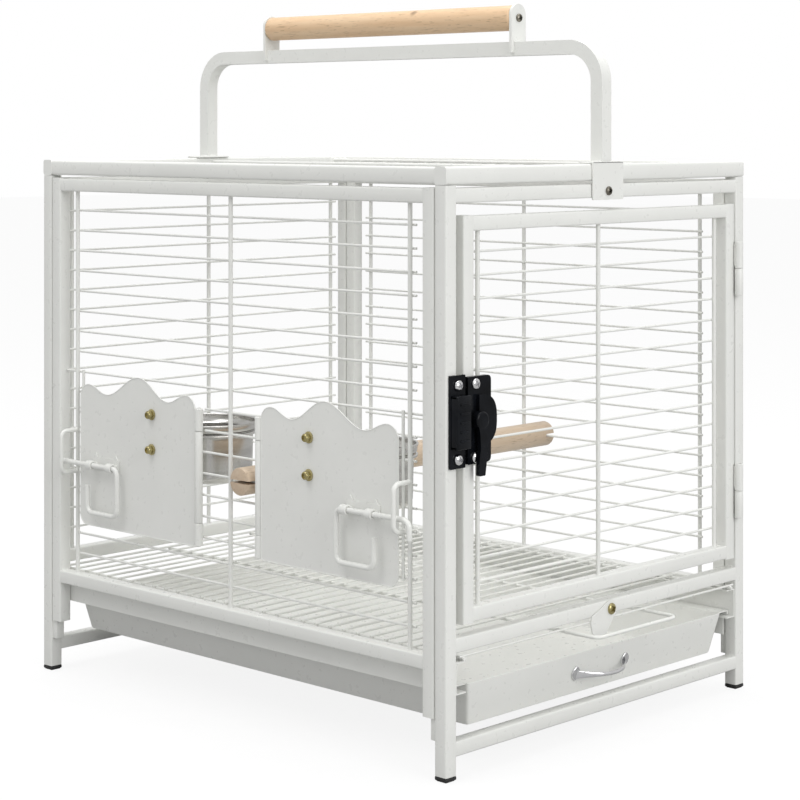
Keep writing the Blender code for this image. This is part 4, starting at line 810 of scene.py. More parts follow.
def panel_frame(shape, x, bars_x):
    """Stiles, rails and thick uprights of one side panel; the lower rail stops between the stiles."""
    edge = sizes().tube_edge
    for y in (-STILE_Y, STILE_Y):
        shape.tube((x, y, PANEL_FOOT_Z), (x, y, TOP_RAIL_TOP), TUBE, edge)
    for z in (PANEL_RAIL_Z + TUBE / 2, TOP_RAIL_TOP - TUBE / 2 - RAIL_STEP):
        shape.tube((x, -STILE_Y, z), (x, STILE_Y, z), TUBE - 2 * RAIL_STEP, edge)
    for side in (-1, 1):
        for z in (PANEL_RAIL_Z + RAIL_STEP, PANEL_RAIL_Z + TUBE - RAIL_STEP, TOP_RAIL_UNDER):
            shape.bead((x, side * (STILE_Y - TUBE / 2), z), (TUBE * 0.80, 0.0022, 0.0018))
    uprights = (-SIDE_UPRIGHT_Y, 0.0, SIDE_UPRIGHT_Y)
    foot = PANEL_RAIL_Z + TUBE - RAIL_STEP
    return welded_uprights(shape, "Y", uprights, foot, TOP_RAIL_UNDER, x, bars_x, SIDE_BARS)


def make_side_panel_right():
    """The plain side: every bar runs the full width of the grille."""
    shape = Shape()
    bars_x = POST_X - BAR_DEPTH
    uprights = panel_frame(shape, POST_X, bars_x)
    reach = SIDE_UPRIGHT_Y + BAR_OVERHANG
    finish_grille(shape, "right_panel_tubes", "cage", "side_panel_right", {
        "right_uprights": (uprights, THICK),
        "right_bars": (wall_bars("Y", -reach, reach, bars_x, SIDE_BARS), THIN),
    })


def make_side_panel_left():
    """The feeder side: bars stop at two openings, each bordered by a guard wire and a hinge rod."""
    shape = Shape()
    bars_x = -POST_X + BAR_DEPTH
    uprights = panel_frame(shape, -POST_X, bars_x)
    strip_x = FEEDER_HINGE_X + HINGE_TUBE / 2 + THIN / 2 - WELD - 0.0001
    reach = SIDE_UPRIGHT_Y + BAR_OVERHANG
    guard_y = SIDE_UPRIGHT_Y - GUARD_INSET
    low = HINGE_LOW_Z + KNUCKLE_HEIGHT
    high = HINGE_TOP_Z - KNUCKLE_HEIGHT
    bars = []
    for index, z in enumerate(SIDE_BARS):
        if index == OPENING_HEAD:
            bars += wall_bars("Y", -STILE_Y, STILE_Y, bars_x, [z])
        elif not OPENING_SILL < index < OPENING_HEAD:
            bars += wall_bars("Y", -reach, reach, bars_x, [z])
        else:
            behind_tube = low + THIN < z < high - THIN
            end = PLATE_HINGE_Y if behind_tube else PLATE_HINGE_Y - KNUCKLE / 2 - 2 * FIT
            bars += wall_bars("Y", -end, end, strip_x, [z])
            for side in (-1, 1):
                bars += wall_bars("Y", side * (guard_y - THIN / 2), side * reach, bars_x, [z])
                shape.bead((bars_x - GUARD_WIRE / 2, side * guard_y, z), (0.0034, 0.0030, 0.0032))
    guard_x = bars_x - (GUARD_WIRE + THIN) / 2 + WELD
    guard_top = SIDE_BARS[OPENING_HEAD] + THIN
    guards = [((guard_x, y, BASE_Z - THIN), (guard_x, y, guard_top)) for y in (-guard_y, guard_y)]
    staples = []
    staple_ends = (BOLT_Z - 0.0105, BOLT_Z - 0.0105 + STAPLE_HEIGHT)
    for side in (-1, 1):
        y = side * SIDE_UPRIGHT_Y
        pivot = (FEEDER_HINGE_X, side * PLATE_HINGE_Y, (HINGE_LOW_Z + HINGE_TOP_Z) / 2)
        shape.rod(pivot, "Z", HINGE_ROD, HINGE_TOP_Z - HINGE_LOW_Z + 0.002, 24, 0.0004)
        shape.rod(pivot, "Z", HINGE_TUBE, high - low - 2 * FIT, 32, 0.0005)
        inward = [(-POST_X, y, z) for z in staple_ends]
        outward = [(STAPLE_X, y, z) for z in staple_ends]
        staples.append(rounded_path([inward[0], *outward, inward[1]], 0.0065))
        for z in staple_ends:
            shape.bead((-POST_X - THICK / 2, y, z), (0.0034, 0.0058, 0.0052))
    finish_grille(shape, "left_panel_tubes", "cage", "side_panel_left", {
        "left_uprights": (uprights, THICK),
        "left_bars": (bars, THIN),
        "left_guards": (guards, GUARD_WIRE),
        "bolt_staples": (staples, STAPLE_WIRE),
    })


def make_lid():
    """The lid's deeper border and its wire; the side tubes stop against the end tubes."""
    shape = Shape()
    edge = sizes().tube_edge * 1.5
    half = TUBE / 2
    for y in (-POST_Y, POST_Y):
        shape.block((-POST_X - half, y - half, LID_UNDER), (POST_X + half, y + half, LID_TOP), edge, "X")
    for x in (-POST_X, POST_X):
        low = (x - half + RAIL_STEP, -POST_Y, LID_UNDER + RAIL_STEP)
        shape.block(low, (x + half - RAIL_STEP, POST_Y, LID_TOP - RAIL_STEP), edge, "Y")
    bead = sizes().bead
    thick_z = LID_TOP - 0.0024 - THICK / 2
    thin_z = thick_z - BAR_DEPTH
    long_wires = []
    bars = []
    for x in (-LID_REACH, 0.0, LID_REACH):
        long_wires.append(((x, -INNER_Y - 0.001, thick_z), (x, INNER_Y + 0.001, thick_z)))
        for y in (-INNER_Y, INNER_Y):
            weld_bead(shape, (x, y, thick_z), "Y", bead)
    for y in rows(-INNER_Y, INNER_Y):
        bars.append(((-INNER_X - 0.001, y, thin_z), (INNER_X + 0.001, y, thin_z)))
        for x in (-LID_REACH, 0.0, LID_REACH):
            crossing(shape, (x, y, (thick_z + thin_z) / 2), "X", "Y")
        for x in (-INNER_X, INNER_X):
            weld_bead(shape, (x, y, thin_z), "X", bead * 0.6)
    finish_grille(shape, "lid_border", "cage", "top_panel",
                  {"lid_long_wires": (long_wires, THICK), "lid_bars": (bars, THIN)})


def make_foot_caps():
    """Moulded caps pushed on the ends of the posts: a rim round the tube and a slightly smaller sole."""
    for word, y in (("front", -POST_Y), ("rear", POST_Y)):
        for hand, x in (("left", -POST_X), ("right", POST_X)):
            shape = Shape()
            for inset, low, high, edge in ((0.0, 0.0008, FOOT_CAP, 0.0009), (0.0012, 0.0, 0.0016, 0.0004)):
                half = TUBE / 2 - inset
                shape.block((x - half, y - half, low), (x + half, y + half, high), edge)
            name = word + "_" + hand
            place(shape.finish("cap_" + name), "cage", "black_plastic", "foot_cap_" + name)


def sleeve(shape, centre, axis, outside, bore, length):
    """A rolled sleeve with eased ends; outside and bore are diameters."""
    half = length / 2
    profile = [(bore / 2, half), (outside / 2 - 0.0005, half), (outside / 2, half - 0.0005)]
    profile += [(radius, -height) for radius, height in reversed(profile)]
    shape.turned(profile + profile[:1], centre, axis)


def make_front_door():
    """The framed grille that hangs in the front frame."""
    shape = Shape()
    y = -POST_Y
    left = DOOR_LEFT_X + TUBE / 2
    right = DOOR_RIGHT_X - TUBE / 2
    foot = DOOR_LOW_Z + TUBE
    head = DOOR_HIGH_Z - TUBE
    for x in (left, right):
        shape.tube((x, y, DOOR_LOW_Z), (x, y, DOOR_HIGH_Z), TUBE, sizes().tube_edge)
    for z in (DOOR_LOW_Z + TUBE / 2 + RAIL_STEP, DOOR_HIGH_Z - TUBE / 2 - RAIL_STEP):
        shape.tube((left, y, z), (right, y, z), TUBE - 2 * RAIL_STEP, sizes().tube_edge)
    first = left + TUBE / 2 + DOOR_UPRIGHT_INSET
    last = right - TUBE / 2 - DOOR_UPRIGHT_INSET
    bar_y = y + BAR_DEPTH
    stations = (first, DOOR_MIDDLE_X, last)
    uprights = welded_uprights(shape, "X", stations, foot, head, y, bar_y, rows(foot, head))
    bars = wall_bars("X", first - BAR_OVERHANG, last + BAR_OVERHANG, bar_y, rows(foot, head))
    finish_grille(shape, "door_tubes", "main_door", "main_door",
                  {"door_uprights": (uprights, THICK), "door_bars": (bars, THIN)})


def make_door_hinges():
    """Two lift-off hinges: a barrel on the door stands on a barrel with a pin on the post."""
    pin = 2 * BARREL_LENGTH - 0.006 - (BARREL - BARREL_BORE) / 2
    for word, z in (("upper", HINGE_UPPER_Z), ("lower", HINGE_LOWER_Z)):
        rise = (FIT + BARREL_LENGTH) / 2
        knuckle = Shape()
        sleeve(knuckle, (DOOR_HINGE_X, DOOR_HINGE_Y, z + rise), "Z", BARREL, BARREL_BORE, BARREL_LENGTH)
        barrel_seam(knuckle, -1, z + rise)
        place_coated(knuckle.finish("door_barrel_" + word), "main_door", "door_knuckle_" + word)
        post = Shape()
        post.rod((DOOR_HINGE_X, DOOR_HINGE_Y, z - rise), "Z", BARREL, BARREL_LENGTH, 48, 0.0005)
        post.rod((DOOR_HINGE_X, DOOR_HINGE_Y, z + 0.0010), "Z", BARREL_PIN, pin, 32, 0.0008)
        barrel_seam(post, 1, z - rise)
        place_coated(post.finish("post_barrel_" + word), "cage", "hinge_post_" + word)


def barrel_seam(shape, side, z):
    """The run of weld that joins a barrel to the tube beside it: side is -1 on the door, 1 on the post."""
    x = DOOR_HINGE_X + side * 0.0021
    for step in range(7):
        drop = (step - 3) / 3 * BARREL_LENGTH * 0.34
        shape.bead((x, FRONT_Y - 0.0012, z + drop), (0.0022, 0.0022, 0.0046))


def cut_out(solid, cutters):
    """The solid with every cutter taken out of it, as one mesh; the objects are used up."""
    for cutter in cutters:
        cut = solid.modifiers.new("cut", "BOOLEAN")
        cut.operation = "DIFFERENCE"
        cut.solver = "EXACT"
        cut.object = cutter
    bpy.context.view_layer.update()
    graph = bpy.context.evaluated_depsgraph_get()
    mesh = bpy.data.meshes.new_from_object(solid.evaluated_get(graph))
    for used in cutters + [solid]:
        bpy.data.objects.remove(used, do_unlink=True)
    shade_by_angle(mesh)
    return mesh


def phillips_screw(name, seat, out, head, rise, body, slot, node, shank=0.003):
    """A round-headed screw along Y. Its head bears on seat, on the side that out says (1 or -1)."""
    dome = [(0.0, rise)]
    for index in range(1, 9):
        turn = math.pi / 2 * index / 8
        dome.append((head / 2 * math.sin(turn), rise * (0.22 + 0.78 * math.cos(turn))))
    profile = dome + [(head / 2, 0.0), (shank / 2, 0.0), (shank / 2, -0.006), (0.0, -0.006)]
    shape = Shape()
    shape.turned(profile, (0.0, 0.0, 0.0), "Z", sizes().round_steps)
    screw = shape.finish(name)
    cutters = []
    for across, along, share in ((head * 0.085, head * 0.30, 0.80), (head * 0.30, head * 0.085, 0.76)):
        slot_cut = Shape()
        slot_cut.block((-across, -along, rise * (1 - share)), (across, along, rise + 0.002))
        cutters.append(slot_cut.finish(name + "_cross"))
    mesh = cut_out(screw, cutters)
    turn = TURN["Y"]
    if out < 0:
        turn = Matrix.Rotation(math.pi, 4, "Z") @ turn
    mesh.transform(Matrix.Translation(seat) @ turn @ Matrix.Rotation(math.radians(25), 4, "Z"))
    mesh.name = name
    place(new_object(name, mesh), body, slot, node)


def rectangle(left, right, low, high):
    """Corners of an upright rectangle, from its lower left one round."""
    return [(left, low), (right, low), (right, high), (left, high)]


def place_cast(obj, body, node):
    place(obj, body, "black_cast", node)


def make_lock_keeper():
    """The keeper on the post: a thin plate and a hood with rolled edges that the cam turns in under."""
    left = KEEPER_LEFT
    half = LOCK_HEIGHT / 2 + 0.0022
    face = FRONT_Y - FIT
    corners = rectangle(left, left + KEEPER_WIDTH, LOCK_Z - half, LOCK_Z + half)
    outline = rounded_outline(corners, KEEPER_CORNER, 3)
    centre = (0.0, face - KEEPER_BASE / 2, 0.0)
    plate = sheet_object("keeper_plate", [outline], KEEPER_BASE, centre, "Y", 0.0004)
    place_cast(plate, "cage", "latch_keeper")
    left += 0.0006
    right = left + KEEPER_WIDTH - 0.0010
    crown = face - KEEPER_DEPTH
    hood = KEEPER_HOUSING / 2
    shape = Shape()
    shape.block((left, crown, LOCK_Z - hood), (right, crown + 0.0024, LOCK_Z + hood), HOOD_EDGE)
    shape.block((left, crown + 0.0006, LOCK_Z - hood), (left + 0.0039, face, LOCK_Z + hood), HOOD_EDGE)
    for side in (-1, 1):
        low, high = sorted((LOCK_Z + side * hood, LOCK_Z + side * (hood - 0.0032)))
        shape.block((left, crown + 0.0004, low), (right, face, high), HOOD_EDGE)
    for step in range(5):
        z = LOCK_Z + 0.0150 - step * 0.0075
        near = (left + 0.0034, crown - 0.0009, z - 0.0011)
        shape.block(near, (right - 0.0026, crown + 0.0024, z + 0.0011), 0.0005)
    place_cast(shape.finish("keeper_hood"), "cage", "latch_keeper")


def make_lock_base():
    """The lock's base on the door, with its right-hand corners rounded more than the others."""
    left = DOOR_LEFT_X + 0.0005
    half = LOCK_HEIGHT / 2
    corners = rectangle(left, left + BASE_WIDTH, LOCK_Z - half, LOCK_Z + half)
    outline = rounded_outline(corners, BASE_CORNERS)
    centre = (0.0, FRONT_Y - FIT - LOCK_THICK / 2, 0.0)
    base = sheet_object("lock_base", [outline], LOCK_THICK, centre, "Y", 0.0011)
    place_cast(base, "main_door", "latch_base")


def make_lock_lever():
    """The half-moon cam, its turned hub and the lever in one casting."""
    face = FRONT_Y - 2 * FIT - LOCK_THICK
    moon = []
    for step in range(41):
        turn = math.radians(-92 + 184 * step / 40)
        up = math.sin(turn)
        across = max(math.cos(turn), -0.05)
        square = abs(up) ** LOBE_SQUARENESS + abs(across) ** LOBE_SQUARENESS
        reach = LOBE_RADIUS * square ** (-1 / LOBE_SQUARENESS)
        moon.append((PIVOT_X + reach * across, LOCK_Z + reach * up))
    cam = sheet_object("lock_cam", [moon], LOBE_THICK, (0.0, face - LOBE_THICK / 2, 0.0), "Y", 0.0006)
    place_cast(cam, "latch_lever", "latch_lever")
    deep = LOBE_THICK + LEVER_THICK
    radius = HUB_DIAMETER / 2
    profile = [(0.0, deep)] + arc((radius - 0.0018, deep - 0.0018), 0.0018, 90, 0, 8)
    profile += [(radius, 0.0), (0.0, 0.0)]
    shape = Shape()
    shape.turned(profile, (0.0, 0.0, 0.0), "Z", sizes().round_steps)
    stand = Matrix.Translation((PIVOT_X, face, LOCK_Z)) @ Matrix.Rotation(math.radians(90), 4, "X")
    bmesh.ops.transform(shape.grid, matrix=stand, verts=shape.grid.verts)
    place_cast(shape.finish("lock_hub"), "latch_lever", "latch_lever")
    edge = [(-0.0070, 0.0), (-0.0038, -0.010), (-0.0028, -0.023), (-0.0046, -0.033)]
    edge.append((-0.0050, -LEVER_LENGTH))
    edge += [(0.0026, -LEVER_LENGTH), (0.0046, -0.033), (0.0052, -0.023), (0.0052, -0.010), (0.0070, 0.0)]
    outline = rounded_outline([(PIVOT_X + across, LOCK_Z + up) for across, up in edge], 0.0012, 4)
    centre = (0.0, face - LOBE_THICK - LEVER_THICK / 2 + FIT, 0.0)
    lever = sheet_object("lock_lever", [outline], LEVER_THICK, centre, "Y", 0.0012)
    place_cast(lever, "latch_lever", "latch_lever")


def make_lock_screws():
    """Two screws in the keeper and two, with lower heads that the lever clears, in the base."""
    for word, z in zip(("lower", "upper"), LOCK_SCREWS):
        keeper = (KEEPER_SCREW_X, FRONT_Y - 2 * FIT - KEEPER_BASE, z)
        phillips_screw("keeper_cross_screw_" + word, keeper, -1, LOCK_SCREW_HEAD, LOCK_SCREW_RISE,
                       "cage", "chrome_plate", "keeper_screw_" + word)
        base = (BASE_SCREW_X, FRONT_Y - 2 * FIT - LOCK_THICK, z)
        phillips_screw("base_cross_screw_" + word, base, -1, LOCK_SCREW_HEAD, BASE_SCREW_RISE,
                       "main_door", "chrome_plate", "latch_screw_" + word)


def plate_outline():
    """The feeder door's edge: a scalloped top with a crest in the middle and a hump at each end."""
    near = PLATE_HINGE_Y + HINGE_TUBE / 2 + 2 * FIT
    far = PLATE_EDGE_Y
    low = BASE_Z - 0.0082
    hump = BASE_Z + 0.1284
    valley = BASE_Z + 0.1204
    crest = BASE_Z + 0.1394
    outer_drop = 0.0012
    corner = 0.010
    end = PLATE_ROUND
    points = arc((far - corner, low + corner), corner, -90, 0, 10)
    points += arc((far - end, hump - outer_drop - end), end, 0, 90, 10)
    stations = [(far - end, hump - outer_drop), (far - 0.0395, valley - outer_drop)]
    stations += [((near + far) / 2 - 0.0035, crest), (near + 0.0385, valley - 0.0004), (near + end, hump)]
    for (start_s, start_z), (end_s, end_z) in zip(stations, stations[1:]):
        for step in range(1, 15):
            share = step / 14
            ease = (1 - math.cos(math.pi * share)) / 2
            points.append((start_s + (end_s - start_s) * share, start_z + (end_z - start_z) * ease))
    points += arc((near + end, hump - end), end, 90, 180, 10)[1:]
    points += arc((near + 0.004, low + 0.004), 0.004, 180, 270, 4)
    return points


def make_feeder_door(word, side):
    """The solid plate with a raised rim along its edge and a knuckle curled at each end of its hinge."""
    body = "feeder_door_" + word
    outline = [(side * across, up) for across, up in plate_outline()]
    centre = (PLATE_X, 0.0, 0.0)
    plate = sheet_object(body + "_plate", [outline], PLATE_THICK, centre, "X", sizes().sheet_edge)
    place_coated(plate, body, body)
    rim = [(PLATE_FACE_X + 0.0001, across, up) for across, up in outline]
    place_coated(wire_object(body + "_rim", [rim], 0.0011, 2, True), body, body)
    shape = Shape()
    half = KNUCKLE_HEIGHT / 2
    reaches = (KNUCKLE_BORE / 2 + 0.0008, KNUCKLE / 2 + 0.006)
    near, far = sorted(side * (PLATE_HINGE_Y + reach) for reach in reaches)
    for z in (HINGE_LOW_Z + half, HINGE_TOP_Z - half):
        sleeve(shape, (FEEDER_HINGE_X, side * PLATE_HINGE_Y, z), "Z", KNUCKLE, KNUCKLE_BORE, KNUCKLE_HEIGHT)
        corner = (PLATE_FACE_X + 0.0001, near, z - half + FIT)
        shape.block(corner, (PLATE_BACK_X - 0.0001, far, z + half - FIT), 0.0003)
    place_coated(shape.finish(body + "_knuckles"), body, body)


def make_feeder_fixings(word, side):
    """Bolts from inside, each with a flanged hexagon nut on the outside and the bolt's hollow end in it."""
    body = "feeder_door_" + word
    strap_face = PLATE_BACK_X + 2 * FIT + STRAP_SHEET
    length = strap_face - PLATE_FACE_X + 0.0055
    bolt = [(0.0, 0.0024), (0.0018, 0.0022), (0.0031, 0.0014), (0.0037, 0.0), (0.0020, 0.0)]
    for step in range(14):
        share = (step + 0.5) / 14
        bolt.append((0.0020 if step % 2 else 0.00182, -0.0006 - share * (length - 0.0012)))
    bolt += [(0.0018, -length + 0.0003), (0.0015, -length), (0.0012, -length), (0.0011, -length + 0.0016)]
    bolt.append((0.0, -length + 0.0016))
    flange = [(0.0, 0.0), (0.0052, 0.0), (0.0052, -0.0005), (0.0040, -0.0013), (0.0, -0.0013)]
    dome = [(0.0, -0.0044), (0.0036, -0.0044), (0.0036, -0.0052), (0.0032, -0.0058), (0.0025, -0.0061)]
    dome += [(0.0022, -0.0061), (0.0020, -0.0050), (0.0, -0.0050)]
    for level, rise in zip(("lower", "upper"), FEEDER_BOLT_RISES):
        name = word + "_" + level
        y = side * FEEDER_BOLT_Y
        z = BASE_Z + rise
        shape = Shape()
        shape.turned(bolt, (strap_face, y, z), "X")
        place(shape.finish("strap_bolt_" + name), body, "brass_plate", "feeder_bolt_" + name)
        seat = PLATE_FACE_X - FIT
        nut = Shape()
        nut.turned(flange, (seat, y, z), "X")
        nut.rod((seat - 0.0028, y, z), "X", 0.0080, 0.0034, 6, 0.0003)
        nut.turned(dome, (seat, y, z), "X")
        place(nut.finish("hexagon_nut_" + name), body, "brass_plate", "feeder_nut_" + name)


def make_cup(word, side):
    """A spun cup with a rolled rim and a wider collar above the step that rests on its ring."""
    rim = sizes().rim
    top = CUP_HEIGHT
    body = CUP_BODY_RADIUS - FIT
    outer = arc((CUP_RADIUS - rim, top - rim), rim, 180, -60, 12)
    outer += [(CUP_RADIUS - rim * 0.7, top - 2 * rim), (CUP_RADIUS - 0.0008, CUP_STEP + 0.0045)]
    outer += [(CUP_RADIUS - 0.0012, CUP_STEP + 0.0022), (CUP_RADIUS - 0.0022, CUP_STEP + 0.0007)]
    outer += [(body + 0.0005, CUP_STEP), (body, CUP_STEP - 0.0008)]
    for index in range(1, 7):
        share = index / 6
        outer.append((body - 0.0009 * share, CUP_STEP + (CUP_FOOT_ROUND - CUP_STEP) * share))
    foot = (CUP_BODY_RADIUS - 0.0012 - CUP_FOOT_ROUND, CUP_FOOT_ROUND)
    outer += arc(foot, CUP_FOOT_ROUND, -10, -90, 8) + [(0.0, 0.0)]
    inner = [(0.0, CUP_WALL)] + arc(foot, CUP_FOOT_ROUND - CUP_WALL, -90, 0, 9)
    inner += [(body - CUP_WALL, CUP_STEP), (CUP_RADIUS - 0.0022 - CUP_WALL, CUP_STEP + 0.0018)]
    inner += [(CUP_RADIUS - 0.0010 - CUP_WALL, CUP_STEP + 0.0050), (CUP_RADIUS - 2 * rim, top - rim)]
    shape = Shape()
    shape.turned(outer + inner, (CUP_X, side * FEEDER_BOLT_Y, CUP_Z), "Z", 96)
    place(shape.finish("spun_cup_" + word), "cup_" + word, "stainless", "cup_" + word)


def make_cup_holder(word, side):
    """The strap bolted behind the plate, the ring that a cup stands in and the arm between them."""
    y = side * FEEDER_BOLT_Y
    body = "feeder_door_" + word
    node = "cup_holder_" + word
    face = PLATE_BACK_X + FIT
    low, high = FEEDER_BOLT_RISES
    corners = rectangle(y - 0.010, y + 0.010, BASE_Z + low - 0.008, BASE_Z + high + 0.008)
    strap = sheet_object("cup_strap_" + word, [rounded_outline(corners, 0.004)], STRAP_SHEET,
                         (face + STRAP_SHEET / 2, 0.0, 0.0), "X", 0.0004)
    place(strap, body, "stainless", node)
    ring_z = CUP_Z + CUP_STEP - FIT - RING_WIRE / 2
    radius = CUP_BODY_RADIUS + FIT + RING_WIRE / 2
    circle = [(across, along, ring_z) for across, along in arc((CUP_X, y), radius, 0, 360, 72)[:-1]]
    place(wire_object("cup_ring_" + word, [circle], RING_WIRE, 3, True), body, "stainless", node)
    shape = Shape()
    end = (CUP_X - radius - 0.0004, y + 0.006, ring_z + 0.0012)
    shape.block((face + 0.0007, y - 0.006, ring_z - 0.0012), end, 0.0005)
    for along in (-0.005, 0.005):
        shape.bead((CUP_X - radius - 0.0006, y + along, ring_z), (0.0030, 0.0030, 0.0034))
    place(shape.finish("cup_arm_" + word), body, "stainless", node)


def make_bolt_bracket(word, side):
    """The strip with two pointed ears, and the two clips rolled round the bolt's wire."""
    body = "feeder_door_" + word
    node = "bolt_bracket_" + word
    inner = SIDE_UPRIGHT_Y - 0.0650
    outer = SIDE_UPRIGHT_Y - 0.0350
    low = BOLT_Z - 0.0035
    high = BOLT_Z + 0.0075
    corners = [(inner - 0.005, low), (outer + 0.005, low), (outer + 0.005, high - 0.001)]
    for ear in (outer, inner):
        corners += [(ear + 0.0026, high), (ear, high + 0.0045), (ear - 0.0026, high)]
    corners.append((inner - 0.005, high - 0.001))
    outline = rounded_outline([(side * across, up) for across, up in corners], 0.0008, 3)
    middle = PLATE_FACE_X - FIT - 0.0006
    place_coated(sheet_object("bolt_strip_" + word, [outline], 0.0012, (middle, 0.0, 0.0), "X"), body, node)
    shape = Shape()
    for across in (inner, outer):
        y = side * across
        sleeve(shape, (BOLT_X, y, BOLT_Z), "Y", CLIP, CLIP_BORE, 0.008)
        low = (BOLT_X + CLIP_BORE / 2 + 0.0006, y - 0.0028, BOLT_Z - 0.0020)
        shape.block(low, (middle, y + 0.0028, BOLT_Z + 0.0020), 0.0004)
    place_coated(shape.finish("bolt_clips_" + word), body, node)


def make_slide_bolt(word, side):
    """One bent wire: a pull that hangs below the bolt, and a tip turned down past the staple."""
    edge = SIDE_UPRIGHT_Y
    route = [(edge - 0.0305, -0.0195), (edge - 0.0305, -0.0455), (edge - 0.0755, -0.0455)]
    route += [(edge - 0.0755, 0.0), (edge + 0.0105, 0.0), (edge + 0.0105, -0.0165)]
    corners = [(BOLT_X, side * across, BOLT_Z + up) for across, up in route]
    wire = wire_object("bolt_wire_" + word, [rounded_path(corners, 0.0072, 10)], 0.0050, 4)
    place_coated(wire, "slide_bolt_" + word, "slide_bolt_" + word)


def make_perch():
    """A dowel with broken end edges and a slot in each end that grips a bar."""
    radius = PERCH_DIAMETER / 2
    half = PERCH_END_X
    profile = [(0.0, half), (radius - 0.0012, half)]
    profile += [(radius - 0.0004, half - 0.0004), (radius, half - 0.0014)]
    profile += [(across, -along) for across, along in reversed(profile)]
    shape = Shape()
    shape.turned(profile, (0.0, PERCH_Y, PERCH_Z), "X", 64)
    dowel = shape.finish("perch_dowel")
    slot_end = POST_X - BAR_DEPTH - THIN / 2 - FIT
    slots = []
    for side in (-1, 1):
        near, far = sorted((side * slot_end, side * (half + 0.01)))
        slot_cut = Shape()
        slot_cut.block((near, PERCH_Y - 0.03, PERCH_Z - 0.00145), (far, PERCH_Y + 0.03, PERCH_Z + 0.00145))
        slots.append(slot_cut.finish("perch_slot"))
    place(new_object("perch_dowel", cut_out(dowel, slots)), "cage", "beech", "perch", "hazy_beech_perch")


def make_grip():
    """The turned grip: a long body with eased ends, and a bored seat for each bolt."""
    half = STRAP_Y - STRAP_THICK / 2 - FIT
    radius = GRIP_DIAMETER / 2
    profile = [(0.0, half - 0.024), (0.0023, half - 0.024), (0.0023, half - 0.0006), (0.0032, half)]
    profile += [(radius - 0.0024, half)] + arc((radius - 0.0020, half - 0.0020), 0.0020, 75, 0, 5)
    profile += [(radius, (half - 0.002) * (1 - step / 8)) for step in range(1, 8)]
    profile += [(across, -along) for across, along in reversed(profile)]
    shape = Shape()
    shape.turned(profile, (0.0, 0.0, GRIP_Z), "Y", 64)
    place(shape.finish("grip_wood"), "cage", "beech", "handle_grip")


def screw_hole(x, z):
    return arc((x, z), SCREW_HOLE, 360, 0, 24)[:-1]


def make_arch():
    """The square-tube arch, lying in the plane of the cage's length."""
    half = LENGTH / 2
    low = LID_TOP + FIT
    inner = ARCH_RADIUS - TUBE
    right = (half - ARCH_RADIUS, ARCH_TOP - ARCH_RADIUS)
    left = (-half + ARCH_RADIUS, ARCH_TOP - ARCH_RADIUS)
    outline = [(half, low)] + arc(right, ARCH_RADIUS, 0, 90, 18)
    outline += arc(left, ARCH_RADIUS, 90, 180, 18) + [(-half, low), (-half + TUBE, low)]
    outline += arc(left, inner, 180, 90, 14) + arc(right, inner, 90, 0, 14) + [(half - TUBE, low)]
    bar = sheet_object("arch_tube", [outline], TUBE, (0.0, 0.0, 0.0), "X", sizes().tube_edge)
    place_coated(bar, "cage", "carry_arch")


def make_arch_foot(word, side):
    """The flattened foot on the lid with its welds, and the plate that hangs from it over the top rail."""
    half = LENGTH / 2
    thick = ARCH_PLATE_THICK
    wide = ARCH_PLATE_WIDTH / 2
    low = LID_TOP + FIT
    foot = Shape()
    near, far = sorted((side * (half + FIT + thick), side * (half - TUBE - 0.002)))
    foot.block((-wide, near, low - FIT / 2), (wide, far, low + thick), 0.0006)
    for across in (-1, 1):
        foot.bead((across * TUBE / 2, side * (half - TUBE / 2), low + thick), (0.0030, TUBE * 0.9, 0.0026))
    foot.bead((0.0, side * (half - TUBE), low + thick), (TUBE * 0.9, 0.0030, 0.0026))
    place_coated(foot.finish("arch_foot_" + word), "cage", "carry_arch")
    outline = rounded_outline(rectangle(-wide, wide, TOP_RAIL_UNDER - 0.0016, low + thick), 0.0015)
    centre = (0.0, side * (half + FIT + thick / 2), 0.0)
    plate = sheet_object("arch_plate_" + word, [outline, screw_hole(0.0, ARCH_SCREW_Z)], thick, centre, "Y",
                         sizes().sheet_edge)
    place_coated(plate, "cage", "carry_arch")


def make_grip_strap(word, side):
    """The upright strap with a rounded top that holds the grip, and the weld at its foot."""
    radius = STRAP_WIDTH / 2
    strap = [(-radius, ARCH_TOP - 0.010), (radius, ARCH_TOP - 0.010)]
    strap += arc((0.0, ARCH_TOP + STRAP_RISE - radius), radius, 0, 180, 24)
    centre = (0.0, side * STRAP_Y, 0.0)
    outlines = [strap, screw_hole(0.0, GRIP_Z)]
    holder = sheet_object("grip_strap_" + word, outlines, STRAP_THICK, centre, "Y", 0.0007)
    place_coated(holder, "cage", "carry_arch")
    weld = Shape()
    for across in range(-4, 5):
        for flank in (-1, 1):
            point = (across * 0.0014, side * STRAP_Y + flank * STRAP_THICK / 2, ARCH_TOP)
            weld.bead(point, (0.0030, 0.0028, 0.0024))
    place_coated(weld.finish("strap_weld_" + word), "cage", "carry_arch")


def make_arch_screws():
    """A screw through each hanging plate and a bolt through each strap into the grip."""
    for word, side in (("front", -1), ("rear", 1)):
        seat = (0.0, side * (LENGTH / 2 + 2 * FIT + ARCH_PLATE_THICK), ARCH_SCREW_Z)
        phillips_screw("arch_cross_screw_" + word, seat, side, 0.008, 0.0026, "cage", "dark_steel",
                       "arch_screw_" + word, 0.004)
        seat = (0.0, side * (STRAP_Y + STRAP_THICK / 2 + FIT), GRIP_Z)
        phillips_screw("grip_cross_bolt_" + word, seat, side, 0.0076, 0.0026, "cage", "dark_steel",
                       "grip_bolt_" + word, 0.004)


